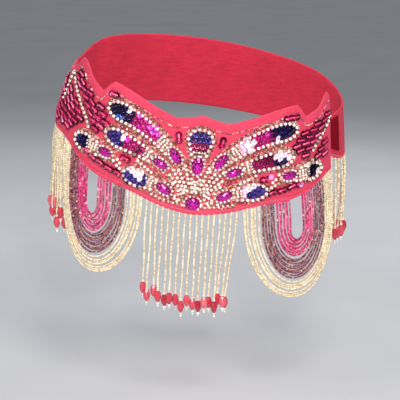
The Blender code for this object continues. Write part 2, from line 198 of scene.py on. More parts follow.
def arc_table():
    angles = np.linspace(0.0, math.pi, 2001)
    speed = np.hypot(HIP_HALF_WIDTH * np.cos(angles), HIP_HALF_DEPTH * np.sin(angles))
    steps = (speed[1:] + speed[:-1]) / 2 * np.diff(angles)
    return angles, np.concatenate(([0.0], np.cumsum(steps)))


ANGLES, DISTANCES = arc_table()
HALF_ROUND = float(DISTANCES[-1])
BACK_SEAM = 2 * HALF_ROUND + FRONT_LEFT_END - SEAM_GAP


def unit(vectors):
    return vectors / np.linalg.norm(vectors, axis=-1, keepdims=True)


def ring_frame(x, y):
    """Points of the pattern in the worn pose, in millimetres, with unit vectors along, up and out."""
    x, y = np.broadcast_arrays(np.asarray(x, float), np.asarray(y, float))
    x = np.where(np.abs(x) > HALF_ROUND, x - np.sign(x) * 2 * HALF_ROUND, x)
    angle = np.sign(x) * np.interp(np.abs(x), DISTANCES, ANGLES)
    sin, cos = np.sin(angle), np.cos(angle)
    half_width, half_depth = HIP_HALF_WIDTH - INWARD_SLOPE * y, HIP_HALF_DEPTH - INWARD_SLOPE * y
    point = np.stack([half_width * sin, -half_depth * cos, y], axis=-1)
    along = np.stack([half_width * cos, half_depth * sin, 0 * x], axis=-1)
    up = np.stack([-INWARD_SLOPE * sin, INWARD_SLOPE * cos, 1 + 0 * x], axis=-1)
    out = unit(np.cross(along, up))
    along = unit(along)
    return tuple(part @ POSE.T for part in (point, along, np.cross(out, along), out))


def wrap(x, y, lift=0.0):
    """The pattern's points in the worn pose, moved out by lift, in millimetres."""
    point, _, _, out = ring_frame(x, y)
    return point + out * np.asarray(lift, float)[..., None]


def outline(rows):
    """A height against distance through rows of (distance, height, corner): smooth, but for its corners."""
    places, heights, corner = (np.array(column, float) for column in zip(*rows))
    slopes = np.diff(heights) / np.diff(places)
    before = np.concatenate((slopes[:1], slopes))
    after = np.concatenate((slopes, slopes[-1:]))
    middle = (before + after) / 2
    start = np.where(corner > 0, after, middle)[:-1] * np.diff(places)
    end = np.where(corner > 0, before, middle)[1:] * np.diff(places)

    def height(x):
        i = np.clip(np.searchsorted(places, x) - 1, 0, len(slopes) - 1)
        t = (x - places[i]) / (places[i + 1] - places[i])
        return (heights[i] * (1 + 2 * t) * (1 - t) ** 2 + start[i] * t * (1 - t) ** 2
                + heights[i + 1] * t * t * (3 - 2 * t) + end[i] * t * t * (t - 1))

    return height


FRONT_TOP_RIGHT = outline(TOP_EDGE + TOP_EDGE_RIGHT_END)
FRONT_TOP_LEFT = outline(TOP_EDGE + TOP_EDGE_LEFT_END)
FRONT_BOTTOM_RIGHT = outline(BOTTOM_EDGE + BOTTOM_EDGE_RIGHT_END)
FRONT_BOTTOM_LEFT = outline(BOTTOM_EDGE + BOTTOM_EDGE_LEFT_END)
BACK_TOP = outline([(x, top, 0) for x, top, bottom, lift in BACK_PANEL])
BACK_BOTTOM = outline([(x, bottom, 0) for x, top, bottom, lift in BACK_PANEL])
BACK_LIFT = outline([(x, lift, 0) for x, top, bottom, lift in BACK_PANEL])


def front_top(x):
    return np.where(np.asarray(x) > 0, FRONT_TOP_RIGHT(np.abs(x)), FRONT_TOP_LEFT(np.abs(x)))


def front_bottom(x):
    return np.where(np.asarray(x) > 0, FRONT_BOTTOM_RIGHT(np.abs(x)), FRONT_BOTTOM_LEFT(np.abs(x)))


def flat(x):
    return np.zeros_like(np.asarray(x, float))


def sides_of(name):
    """The copies of a petal or stone: the end of its name, and -1 on the left or 1 on the right."""
    return {"": 1} if name == "center" else {"_left": -1, "_right": 1}


# Materials.


class Finish:
    """A material and short ways to build its node tree."""

    def __init__(self, name, colour, roughness, metallic=0.0, **sockets):
        self.material = bpy.data.materials.new(name)
        self.material.use_nodes = True
        self.material.diffuse_color = (*colour, 1.0)
        self.nodes = self.material.node_tree.nodes
        self.links = self.material.node_tree.links
        self.shader = self.nodes["Principled BSDF"]
        self.set("Base Color", (*colour, 1.0))
        self.set("Roughness", roughness)
        self.set("Metallic", metallic)
        for socket, value in sockets.items():
            self.set(socket.replace("_", " "), value)

    def set(self, socket, value):
        self.shader.inputs[socket].default_value = value

    def node(self, kind, **values):
        made = self.nodes.new(kind)
        for key, value in values.items():
            if key in made.inputs:
                made.inputs[key].default_value = value
            else:
                setattr(made, key, value)
        return made

    def noise(self, scale, detail=2.0, roughness=0.5, stretch=(1.0, 1.0, 1.0), slant=0.0):
        """Noise in object space: cells per metre, drawn out along an axis and slanted in degrees."""
        place = self.node("ShaderNodeTexCoord")
        mapping = self.node("ShaderNodeMapping", Scale=stretch, Rotation=(0.0, math.radians(slant), 0.0))
        noise = self.node("ShaderNodeTexNoise", Scale=scale, Detail=detail, Roughness=roughness)
        self.links.new(place.outputs["Object"], mapping.inputs["Vector"])
        self.links.new(mapping.outputs["Vector"], noise.inputs["Vector"])
        return noise.outputs["Fac"]

    def tone(self):
        """The random value that each bead or sequin carries."""
        return self.node("ShaderNodeAttribute", attribute_name="tone").outputs["Fac"]

    def ramp(self, value, stops):
        ramp = self.node("ShaderNodeValToRGB")
        band = ramp.color_ramp
        while len(band.elements) < len(stops):
            band.elements.new(0.5)
        for element, (position, colour) in zip(band.elements, stops):
            element.position = position
            element.color = (*colour, 1.0)
        self.links.new(value, ramp.inputs["Fac"])
        return ramp.outputs["Color"]

    def range(self, value, low, high, to_low, to_high):
        node = self.node("ShaderNodeMapRange")
        for key, number in zip(("From Min", "From Max", "To Min", "To Max"), (low, high, to_low, to_high)):
            node.inputs[key].default_value = number
        self.links.new(value, node.inputs["Value"])
        return node.outputs["Result"]

    def mix(self, factor, first, second, blend="MIX"):
        node = self.node("ShaderNodeMix", data_type="RGBA", blend_type=blend)
        for socket, value in ((node.inputs[0], factor), (node.inputs[6], first), (node.inputs[7], second)):
            if isinstance(value, (int, float)):
                socket.default_value = value
            elif isinstance(value, tuple):
                socket.default_value = (*value, 1.0)
            else:
                self.links.new(value, socket)
        return node.outputs[2]

    def bump(self, height, strength, distance):
        bump = self.node("ShaderNodeBump", Strength=strength, Distance=distance)
        self.links.new(height, bump.inputs["Height"])
        self.links.new(bump.outputs["Normal"], self.shader.inputs["Normal"])

    def colour(self, output):
        self.links.new(output, self.shader.inputs["Base Color"])


def cloth_finish(name, light, deep, sheen=0.35):
    """Short-napped stretch cloth: fine speckle, brushed streaks, broad soft shading and a light sheen."""
    finish = Finish(name, light, 0.78, Sheen_Weight=sheen, Sheen_Roughness=0.45, Specular_IOR_Level=0.25)
    finish.set("Sheen Tint", (*srgb(255, 150, 175), 1.0))
    speckle = finish.ramp(finish.noise(1500.0, 3.0, 0.7), ((0.30, deep), (0.62, light)))
    streaks = finish.noise(170.0, 3.0, 0.6, (0.5, 0.5, 2.2), 18.0)
    streaks = finish.ramp(streaks, ((0.36, srgb(238, 235, 236)), (0.64, srgb(255, 255, 255))))
    broad = finish.ramp(finish.noise(20.0, 2.0), ((0.3, srgb(240, 240, 240)), (0.7, srgb(255, 255, 255))))
    finish.colour(finish.mix(1.0, finish.mix(1.0, speckle, streaks, "MULTIPLY"), broad, "MULTIPLY"))
    finish.bump(finish.noise(1900.0, 2.0, 0.6), 0.5, 0.0003)
    return finish.material


def dark_pad_finish():
    """Dark crimson pad, far darker than the cloth round it, with a rough bump."""
    finish = Finish("dark_tab_pad", srgb(120, 8, 30), 0.95, Specular_IOR_Level=0.1)
    finish.colour(finish.ramp(finish.noise(900.0, 4.0, 0.8),
                              ((0.30, srgb(84, 2, 14)), (0.70, srgb(158, 10, 38)))))
    finish.bump(finish.noise(1100.0, 3.0, 0.7), 0.9, 0.0008)
    return finish.material


def toned_finish(name, roughness, metallic, coat, coat_roughness, stops, **sockets):
    """A glossy finish whose colour differs from one bead or sequin to the next."""
    stops = [(tone, srgb(*colour)) for tone, colour in stops]
    finish = Finish(name, stops[-1][1], roughness, metallic, Coat_Weight=coat,
                    Coat_Roughness=coat_roughness, **sockets)
    finish.colour(finish.ramp(finish.tone(), stops))
    return finish.material


def thread_finish(name, colour):
    finish = Finish(name, colour, 0.7, Sheen_Weight=0.2)
    dim = tuple(v * 0.6 for v in colour)
    finish.colour(finish.ramp(finish.noise(2500.0), ((0.35, dim), (0.6, colour))))
    return finish.material


def gem_finish(name):
    """Foil-backed magenta stone: each facet has its own tone, from painted shade up to a painted light pink
    glint.
    """
    finish = Finish(name, srgb(190, 0, 140), 0.16, 0.4, Coat_Weight=0.1, Coat_Roughness=0.04, IOR=1.45)
    finish.colour(finish.ramp(finish.tone(), (
        (0.0, srgb(70, 0, 40)), (0.45, srgb(150, 0, 96)), (0.85, srgb(214, 4, 184)),
        (1.0, srgb(246, 90, 216)))))
    return finish.material


WHITE = (255, 250, 242)
# Finishes that differ from bead to bead: name, roughness, metallic, coat, its roughness, and tones with the
# colours that they show on a screen.
TONED = {
    "pearl": ("crystal_beads", 0.16, 0.1, 0.8, 0.05, (
        (0.0, (150, 136, 122)), (0.1, (216, 198, 178)), (0.25, (252, 240, 226)), (1.0, WHITE))),
    "spacer": ("spacer_beads", 0.25, 0.5, 0.0, 0.03, (
        (0.0, (60, 52, 44)), (0.35, (132, 116, 90)), (0.68, (206, 186, 152)), (1.0, (255, 244, 224)))),
    "edge": ("edge_beads", 0.2, 0.45, 0.0, 0.03, (
        (0.0, (64, 56, 52)), (0.4, (146, 126, 110)), (0.65, (222, 194, 180)), (1.0, WHITE))),
    # The top stops of the violet and magenta ramps, blue, white and bright pink, are painted glints.
    "violet": ("violet_sequins", 0.27, 0.7, 0.25, 0.12, (
        (0.0, (16, 10, 52)), (0.35, (44, 30, 112)), (0.7, (92, 72, 180)), (0.86, (60, 120, 230)),
        (0.93, WHITE), (1.0, WHITE))),
    "magenta": ("magenta_sequins", 0.27, 0.5, 0.4, 0.12, (
        (0.0, (88, 0, 40)), (0.35, (172, 4, 98)), (0.7, (204, 8, 132)), (0.9, (250, 60, 236)),
        (1.0, (255, 190, 250)))),
    # Pale sequins, and also the sequins given a painted white glint.
    "pale": ("pale_sequins", 0.22, 0.05, 0.8, 0.1, (
        (0.0, (244, 160, 236)), (0.5, (255, 206, 246)), (0.9, (255, 246, 255)), (1.0, WHITE))),
    "paillette": ("dark_sequins", 0.26, 0.5, 0.4, 0.1, (
        (0.0, (74, 0, 30)), (0.25, (112, 0, 46)), (0.7, (184, 10, 86)), (1.0, (228, 30, 130)))),
    "bugle": ("pink_bugles", 0.16, 0.2, 0.6, 0.05, (
        (0.0, (214, 36, 98)), (0.5, (242, 66, 128)), (1.0, (255, 122, 168)))),
    "ivory": ("ivory_seeds", 0.25, 0.1, 0.5, 0.1, (
        (0.0, (206, 184, 146)), (0.3, (228, 208, 172)), (1.0, (250, 238, 210)))),
    "pink": ("pink_seeds", 0.22, 0.3, 0.5, 0.08, (
        (0.0, (150, 16, 78)), (0.45, (218, 38, 116)), (0.93, (246, 96, 156)), (1.0, WHITE))),
    "brown": ("brown_seeds", 0.24, 0.35, 0.4, 0.1, (
        (0.0, (84, 26, 62)), (0.35, (146, 78, 84)), (0.7, (186, 116, 96)), (0.88, (136, 84, 150)),
        (1.0, (244, 206, 176)))),
    "drop": ("coral_drops", 0.10, 0.0, 0.8, 0.03, (
        (0.0, (170, 28, 50)), (0.5, (206, 58, 78)), (1.0, (232, 104, 116)))),
    "silver": ("silver_ends", 0.14, 0.15, 0.8, 0.05, (
        (0.0, (216, 206, 196)), (1.0, WHITE))),
}


def make_finishes():
    finishes = {
        "cloth": cloth_finish("coral_cloth", srgb(240, 80, 110), srgb(208, 46, 78)),
        # The back cloth is deeper coral, partly its own colour and partly painted shade of the hip side
        # turned from the light.
        "back": cloth_finish("deeper_and_shaded_coral_cloth", srgb(226, 54, 82), srgb(190, 30, 56), 0.14),
        "pad": cloth_finish("pad_cloth", srgb(232, 132, 132), srgb(196, 92, 98)),
        "dark_pad": dark_pad_finish(),
        "thread": thread_finish("pink_thread", srgb(225, 60, 100)),
        "gem": gem_finish("magenta_stone"),
    }
    for key, row in TONED.items():
        more = {"Subsurface_Weight": DROP_GLOW} if key == "drop" else {}
        finishes[key] = toned_finish(*row, **more)
    return finishes


# Small shapes, each as points and faces, and meshes of many copies of one.


def turned(profile, sides, stagger=False):
    """A closed turned shape about Z through rows of (radius, height), from the bottom up."""
    points, faces = [], []
    for row, (radius, height) in enumerate(profile):
        for i in range(sides):
            angle = 2 * math.pi * (i + (0.5 if stagger and row % 2 else 0.0)) / sides
            points.append((radius * math.cos(angle), radius * math.sin(angle), height))
    for row in range(len(profile) - 1):
        for i in range(sides):
            j = (i + 1) % sides
            low, high = row * sides, (row + 1) * sides
            if not stagger:
                faces.append((low + i, low + j, high + j, high + i))
            elif row % 2:
                faces += [(low + i, low + j, high + j), (low + i, high + j, high + i)]
            else:
                faces += [(low + i, low + j, high + i), (low + j, high + j, high + i)]
    points += [(0.0, 0.0, profile[0][1]), (0.0, 0.0, profile[-1][1])]
    last = (len(profile) - 1) * sides
    for i in range(sides):
        j = (i + 1) % sides
        faces += [(len(points) - 2, j, i), (len(points) - 1, last + i, last + j)]
    return np.array(points), faces


def hooped(profile, sides):
    """A turned ring: the profile of (radius, height) closes on itself, outer side upwards."""
    points = [(r * math.cos(2 * math.pi * i / sides), r * math.sin(2 * math.pi * i / sides), h)
              for r, h in profile for i in range(sides)]
    faces = []
    for row in range(len(profile)):
        low, high = row * sides, ((row + 1) % len(profile)) * sides
        faces += [(low + i, low + (i + 1) % sides, high + (i + 1) % sides, high + i) for i in range(sides)]
    return np.array(points), faces


def ball(subdivisions):
    bm = bmesh.new()
    bmesh.ops.create_icosphere(bm, subdivisions=subdivisions, radius=1.0)
    points = np.array([v.co[:] for v in bm.verts])
    faces = [tuple(v.index for v in face.verts) for face in bm.faces]
    bm.free()
    return points, faces


SEED = turned(((0.62, -0.5), (1.0, -0.26), (1.0, 0.26), (0.62, 0.5)), 8)
BEAD = ball(2)
SMALL_BEAD = ball(1)
BUGLE = turned(((0.7, -0.5), (1.0, -0.46), (1.0, 0.46), (0.7, 0.5)), 8)
SEQUIN = hooped(((0.14, -0.03), (0.55, -0.01), (1.0, 0.13), (1.0, 0.19), (0.55, 0.06), (0.14, 0.04)), 14)
CUP = hooped(((0.12, -0.03), (0.62, 0.0), (0.84, 0.12), (1.0, 0.34), (0.96, 0.38), (0.76, 0.18),
              (0.58, 0.07), (0.12, 0.04)), 16)
DROP = turned(((0.9, 0.3), (2.4, 1.5), (3.55, 4.0), (3.95, 7.2), (3.4, 10.0), (2.0, 12.6),
               (0.8, 14.1)), 9, True)
STITCH = turned(((0.4, -0.5), (1.0, -0.36), (1.0, 0.36), (0.4, 0.5)), 6)


def mesh_object(name, points, faces, material, smooth, tones=None):
    """A mesh object from points in millimetres."""
    mesh = bpy.data.meshes.new(name)
    mesh.from_pydata((np.asarray(points) * MM).tolist(), [], faces)
    mesh.materials.append(material)
    mesh.polygons.foreach_set("use_smooth", np.full(len(mesh.polygons), smooth))
    if tones is not None:
        mesh.attributes.new("tone", "FLOAT", "POINT").data.foreach_set("value", tones.astype(np.float32))
    mesh.update()
    obj = bpy.data.objects.new(name, mesh)
    bpy.context.scene.collection.objects.link(obj)
    return obj


def scatter(name, shape, origins, bases, tones, material, smooth=False, rim_shade=0.0):
    """One mesh of copies of a shape: an origin, three scaled axes and a tone for each, lower at the rim."""
    points, faces = shape
    from_middle = np.hypot(points[:, 0], points[:, 1])
    shade = 1 - rim_shade * np.clip((from_middle - 0.6) / 0.3, 0.0, 1.0)
    origins, bases = np.asarray(origins), np.asarray(bases)
    spots = origins[:, None, :] + np.einsum("vk,mkc->mvc", points, bases)
    all_faces = []
    shifts = np.arange(len(origins)) * len(points)
    for sides in sorted({len(face) for face in faces}):
        some = np.array([face for face in faces if len(face) == sides])
        all_faces += (some[None] + shifts[:, None, None]).reshape(-1, sides).tolist()
    return mesh_object(name, spots.reshape(-1, 3), all_faces, material, smooth,
                       (np.asarray(tones)[:, None] * shade).reshape(-1))


def random_turns(rng, count):
    """Random rotations, as three axes each."""
    w, x, y, z = rng.normal(size=(4, count)) + 1e-9
    size = np.sqrt(w * w + x * x + y * y + z * z)
    w, x, y, z = w / size, x / size, y / size, z / size
    return np.stack([
        np.stack([1 - 2 * (y * y + z * z), 2 * (x * y + w * z), 2 * (x * z - w * y)], -1),
        np.stack([2 * (x * y - w * z), 1 - 2 * (x * x + z * z), 2 * (y * z + w * x)], -1),
        np.stack([2 * (x * z + w * y), 2 * (y * z - w * x), 1 - 2 * (x * x + y * y)], -1)], axis=1)


def on_body(obj, slot_name, *nodes):
    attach(obj, "root")
    if nodes:
        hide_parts(*nodes)
    return obj


# Cloth.

CREASES_FRONT = (
    # place along the band, middle height, length, width, depth and slant
    (-214, 40, 46, 5, 0.7, 0.2), (-196, 52, 30, 4, 0.5, -0.15), (-181, 74, 24, 4.5, 0.7, 0.3),
    (-150, 70, 18, 3.6, 0.5, -0.2), (-128, 62, 16, 3, 0.7, 0.1), (-108, 71, 14, 4.2, 0.4, 0.4),
    (-74, 66, 12, 4.6, 0.35, -0.3), (-33, 53, 14, 4, 0.5, 0.1), (12, 57, 11, 5, 0.3, 0.3),
    (33, 53, 13, 3.4, 0.5, -0.2), (84, 69, 12, 5.2, 0.35, 0.25), (117, 72, 16, 3.2, 0.5, -0.3),
    (127.5, 61, 14, 2.8, 0.6, 0.1), (147, 70, 16, 3.4, 0.5, 0.35), (160, 78, 18, 3, 0.6, -0.15),
    (163, 20, 26, 3.4, 0.5, 0.1), (-120, -17, 9, 5, 0.3, 0.3), (-64, -28, 9, 6, 0.3, -0.2),
    (58, -28, 9, 5, 0.3, 0.2), (118, -16, 8, 4.4, 0.3, -0.3),
)
CREASES_BACK = (
    (184, 34, 40, 5, 0.5, 0.1), (206, 40, 46, 4.2, 1.1, -0.1), (229, 30, 40, 5.5, 0.8, 0.15),
    (262, 44, 60, 6, 1.1, -0.2), (301, 36, 52, 7.5, 0.8, 0.25), (338, 54, 44, 5, 1, -0.1),
    (366, 20, 30, 4.5, 0.7, 0.5), (386, 30, 50, 7, 0.9, 0.15), (418, 60, 40, 5.5, 1.1, -0.3),
    (446, 40, 66, 6.5, 1.2, 0.05), (489, 58, 42, 6, 0.8, 0.3), (524, 34, 54, 7, 1, -0.15),
    (547, 62, 30, 4, 0.7, -0.4), (566, 50, 56, 5.5, 1, 0.1), (598, 40, 44, 4.5, 0.9, -0.1),
    (618, 36, 40, 4, 0.8, 0.1),
)
HEM_DEPTH = 0.45
HEM_WIDTH = 1.1


def creases(table, x, y):
    """How far soft troughs lower the cloth."""
    depth = np.zeros(np.broadcast(x, y).shape)
    for place, middle, length, width, deep, slant in table:
        across = (x - place - slant * (y - middle)) / width
        depth += deep * np.exp(-across ** 2 - ((y - middle) / (length / 2)) ** 4)
    return depth


def cloth_places(start, end, step):
    """Columns of a band, closer together where its ends round off."""
    ends = np.array([0.0, 0.1, 0.35, 0.75, 1.3])
    return np.concatenate((start + ends, np.arange(start + 2.2, end - 2.2, step), end - ends[::-1]))


def cloth_band(name, places, rows, low, high, lift, table, hem, material):
    """A closed band of cloth, round at its edges, with creases and stitched-down hems on its outer face."""
    half = WALL / 2
    bottom, top = low(places), high(places)
    share = np.linspace(0.0, 1.0, rows)
    outer_y = bottom[:, None] + half + (top - bottom - WALL)[:, None] * share
    crease = creases(table, places[:, None], outer_y)
    dip = crease.copy()
    if hem:
        for line in (top[:, None] - hem[0], bottom[:, None] + hem[1]):
            dip += HEM_DEPTH * np.exp(-((outer_y - line) / HEM_WIDTH) ** 2)
    fade = np.minimum(1.0, np.minimum(outer_y - bottom[:, None], top[:, None] - outer_y) / 4.0)
    dip = np.minimum(dip, 1.3) * fade
    turn = np.radians([60.0, 30.0, 0.0, -30.0, -60.0])
    top_y = top[:, None] - half + half * np.cos(turn)
    bottom_y = bottom[:, None] + half - half * np.cos(turn)
    inner_y = outer_y[:, ::-1]
    y = np.concatenate((outer_y, top_y, inner_y, bottom_y), axis=1)
    depth = np.concatenate((
        half - dip, np.broadcast_to(half * np.sin(turn), top_y.shape),
        -half - 0.8 * crease[:, ::-1] * fade[:, ::-1],
        np.broadcast_to(-half * np.sin(turn), bottom_y.shape)), axis=1)
    from_end = np.minimum(places - places[0], places[-1] - places)
    round_off = np.sqrt(1 - (1 - np.minimum(1.0, (from_end + 0.15) / half)) ** 2)
    depth *= round_off[:, None]
    x = np.broadcast_to(places[:, None], y.shape)
    points = wrap(x, y, lift(places)[:, None] - half + depth)
    columns, around = y.shape
    index = np.arange(columns * around).reshape(columns, around)
    ahead = np.roll(index, -1, axis=1)
    quads = np.stack([index[:-1], index[1:], ahead[1:], ahead[:-1]], axis=-1).reshape(-1, 4).tolist()
    faces = quads + [index[0].tolist(), index[-1][::-1].tolist()]
    return mesh_object(name, points.reshape(-1, 3), faces, material, True)


def add_cloth(finishes):
    places = cloth_places(FRONT_LEFT_END, FRONT_RIGHT_END, 1.6)
    front = cloth_band("front_cloth", places, 48, front_bottom, front_top, flat, CREASES_FRONT,
                       FRONT_HEM, finishes["cloth"])
    places = cloth_places(TAB_END, BACK_SEAM, 2.2)
    back = cloth_band("back_cloth", places, 36, BACK_BOTTOM, BACK_TOP, BACK_LIFT, CREASES_BACK,
                      BACK_HEM, finishes["back"])
    on_body(front, "coral_cloth", "front_panel")
    on_body(back, "coral_cloth", "back_panel")
    return front, back


def add_closure(finishes):
    """A dark pad on the tab where the closure tape lies, thicker at its edge."""
    columns, rows = 60, 90
    x = np.linspace(TAPE_START, TAPE_END, columns)
    low, high = BACK_BOTTOM(x) + TAPE_BOTTOM_MARGIN, BACK_TOP(x) - TAPE_TOP_MARGIN
    share = np.linspace(0.0, 1.0, rows)
    y = low[:, None] + (high - low)[:, None] * share
    rng = np.random.default_rng(5)
    from_ends = np.minimum(x - x[0], x[-1] - x)[:, None]
    edge = np.minimum(from_ends, np.minimum(y - low[:, None], high[:, None] - y))
    height = TAPE_THICKNESS * (0.6 + 0.4 * np.clip(edge / 1.2, 0, 1)) + rng.uniform(-0.12, 0.12, y.shape)
    base = BACK_LIFT(x)[:, None] + SEAM_GAP
    x = np.broadcast_to(x[:, None], y.shape)
    top, under = wrap(x, y, base + height), wrap(x, y, base + 0 * height)
    points = np.concatenate((top.reshape(-1, 3), under.reshape(-1, 3)))
    index = np.arange(columns * rows).reshape(columns, rows)
    shift = columns * rows
    faces = []
    for i in range(columns - 1):
        for j in range(rows - 1):
            a, b, c, d = index[i, j], index[i + 1, j], index[i + 1, j + 1], index[i, j + 1]
            faces += [(a, b, c, d), (a + shift, d + shift, c + shift, b + shift)]
    rim = list(index[:, 0]) + list(index[-1, 1:]) + list(index[-2::-1, -1]) + list(index[0, -2:0:-1])
    for a, b in zip(rim, rim[1:] + rim[:1]):
        faces.append((b, a, a + shift, b + shift))
    faces = [tuple(int(v) for v in face) for face in faces]
    dark_pad = mesh_object("dark_tab_pad", points, faces, finishes["dark_pad"], True)
    on_body(dark_pad, "closure_tape", "closure_tape")


# Petals.


def petal_line(name, side, count=120):
    """Points along a petal's spine, the unit vector across it and its half width."""
    base, control, tip, base_half, widest_half, widest_at, swelling = PETALS[name]
    base, control, tip = (np.array((side * p[0], p[1])) for p in (base, control, tip))
    t = np.sin(np.linspace(0.0, math.pi / 2, count))[:, None]
    middle = base * (1 - t) ** 2 + control * 2 * t * (1 - t) + tip * t * t
    along = unit((control - base) * (1 - t) + (tip - control) * t)
    across = np.stack([-along[:, 1], along[:, 0]], axis=1)
    t = t[:, 0]
    rising = base_half + (widest_half - base_half) * np.minimum(1.0, t / widest_at) ** swelling
    beyond = np.maximum(0.0, t - widest_at) / (1 - widest_at)
    falling = widest_half * np.sqrt(np.maximum(0.0, 1 - beyond ** 2))
    return middle, across, np.where(t < widest_at, rising, falling)


def petal_edge(name, side, inset):
    """The open outline of a petal from its base round the tip and back, moved in by inset."""
    middle, across, half = petal_line(name, side, 240)
    reach = across * half[:, None]
    path = resample(np.concatenate((middle + reach, (middle - reach)[::-1])), 0.5)
    tangent = np.gradient(path, axis=0)
    tangent /= np.linalg.norm(tangent, axis=1, keepdims=True) + 1e-9
    inward = np.stack([tangent[:, 1], -tangent[:, 0]], axis=1)
    return path + inward * inset


def resample(path, step):
    """Points about a step apart along a path."""
    path = np.asarray(path, float)
    lengths = np.concatenate(([0.0], np.cumsum(np.linalg.norm(np.diff(path, axis=0), axis=1))))
    count = max(2, int(round(lengths[-1] / step)) + 1)
    spots = np.linspace(0.0, lengths[-1], count)
    return np.stack([np.interp(spots, lengths, path[:, k]) for k in range(path.shape[1])], axis=1)


PETAL_COPIES = [(name, side) for name in PETALS for side in sides_of(name).values()]
PETAL_LINES = {copy: petal_line(*copy) for copy in PETAL_COPIES}


def deepest_petal(x, y):
    """The petal whose edge a point of the pattern is furthest inside, and how far; negative outside."""
    found, deepest = None, -1e3
    for key, (middle, across, half) in PETAL_LINES.items():
        distance = np.hypot(middle[:, 0] - x, middle[:, 1] - y)
        beside = abs(np.dot(across[0], (x - middle[0, 0], y - middle[0, 1])))
        if np.argmin(distance) > 0 or distance[0] < half[0] and beside > distance[0] * 0.7:
            depth = float((half - distance).max())
            if depth > deepest:
                found, deepest = key, depth
    return found, deepest


def depth_in_petals(x, y):
    return deepest_petal(x, y)[1]


def of_side(table, name, side):
    """A petal's row of a table: the left copy's own, where it has one."""
    return table.get(name + "_left" if side < 0 else name, table[name])


def ground(x, y):
    """The height of what lies under a bead at a point of the pattern."""
    depth = depth_in_petals(x, y)
    if depth <= 0.2:
        return 0.0
    return SEAM_GAP + (PETAL_RIM if depth < RIM_WIDTH + 0.3 else PETAL_FIELD)


def gem_ellipses(grow):
    """Each stone's centre, half sizes grown by some millimetres, and turn, in the pattern."""
    for name, (centre, length, width, degrees) in GEMS.items():
        for side in sides_of(name).values():
            turn = math.radians(degrees if side > 0 else 180.0 - degrees)
            yield (side * centre[0], centre[1]), length / 2 + grow, width / 2 + grow, turn
    (x, y), length, width, degrees = JEWEL
    yield (x, y), length / 2 + grow, width / 2 + grow, math.radians(degrees)


def in_gem(x, y, grow):
    for (cx, cy), long_half, wide_half, turn in gem_ellipses(grow):
        u = (x - cx) * math.cos(turn) + (y - cy) * math.sin(turn)
        v = (y - cy) * math.cos(turn) - (x - cx) * math.sin(turn)
        if (u / long_half) ** 2 + (v / wide_half) ** 2 < 1:
            return True
    return False


class Beadwork:
    """Beads sewn to the front: each is kept only where it has room."""

    CELL = 5.0

    def __init__(self):
        self.rows = {"pearl": [], "spacer": [], "edge": []}
        self.cells = {}

    def near(self, x, y):
        i, j = int(x // self.CELL), int(y // self.CELL)
        for a in (i - 1, i, i + 1):
            for b in (j - 1, j, j + 1):
                yield from self.cells.get((a, b), ())

    def free(self, x, y, radius, overlap=0.8):
        if any((x - a) ** 2 + (y - b) ** 2 < (overlap * (radius + r)) ** 2 for a, b, r in self.near(x, y)):
            return False
        margin = radius + EDGE_CLEARANCE
        return float(front_bottom(x)) + margin < y < float(front_top(x)) - margin

    def add(self, kind, x, y, radius, overlap=0.8, skip_gems=True):
        if skip_gems and in_gem(x, y, radius * 0.75):
            return
        if not self.free(x, y, radius, overlap):
            return
        self.reserve(x, y, radius)
        self.rows[kind].append((x, y, ground(x, y) + radius * 0.85, radius))

    def reserve(self, x, y, radius):
        """Room that no bead may take."""
        self.cells.setdefault((int(x // self.CELL), int(y // self.CELL)), []).append((x, y, radius))

    def chain(self, path, radius=ROW_BEAD_RADIUS, pitch=ROW_BEAD_PITCH, between=1, overlap=0.8):
        """Crystal beads along a path, with small dark beads between each two."""
        spots = resample(path, pitch / (between + 1))
        for x, y in spots[::between + 1]:
            self.add("pearl", x, y, radius, overlap)
        for i, (x, y) in enumerate(spots):
            if i % (between + 1):
                self.add("spacer", x, y, SPACER_RADIUS, 0.7)

    def row(self, kind, path, radius, pitch, overlap=0.7):
        for x, y in resample(path, pitch):
            self.add(kind, x, y, radius, overlap)

    def build(self, finishes, rng):
        shapes = {"pearl": BEAD, "spacer": SMALL_BEAD, "edge": SMALL_BEAD}
        for kind, rows in self.rows.items():
            x, y, lift, radius = np.array(rows).T
            bases = random_turns(rng, len(rows)) * radius[:, None, None]
            obj = scatter(kind + "_beads", shapes[kind], wrap(x, y, lift), bases,
                          rng.random(len(rows)), finishes[kind])
            on_body(obj, "sequin_pad")


# The fan's bead lines: the focus they meet in, and the lines that cross the sides.
FOCUS = (0.0, -31.5)
RAY_START = 10.4
# Rows up the gaps, on both sides: their angle, and where they start and end from the focus.
GAP_RAYS = (
    (4, 11, 26), (28.5, 12, 74), (23, 30, 74), (51, 13, 46), (57, 30, 42),
    (76, 12, 42), (69, 26, 44), (63.5, 12, 30), (84, 16, 30), (38, 16, 34),
)
SIDE_LINES = (
    ((136, 28), (144, 37.5), (153.5, 46.5), (161.5, 54.5), (166, 61)),
    ((-134, 22.5), (-138, 28.5), (-149, 38), (-160.5, 47.5), (-171, 56), (-179.5, 63), (-186, 70)),
    ((-197, 33), (-195.5, 38), (-193, 49), (-190.5, 60), (-188, 68)),
)
SIDE_TAILS = (
    ((94.5, 7.2), (90.5, 3.2), (87.3, -2.0), (82.5, -5.0)),
    ((91.5, -4.9), (86.5, -7.6), (81.5, -10.3)),
)
PALE_ZONES = {
    "center": (19.5, 24.5), "upper": (35.0, 56.0), "upper_left": (35.0, 47.0), "middle": (47.0, 61.0),
    "lower": (42.0, 56.0), "lower_left": (42.0, 52.5), "side": (113.0, 129.0),
}


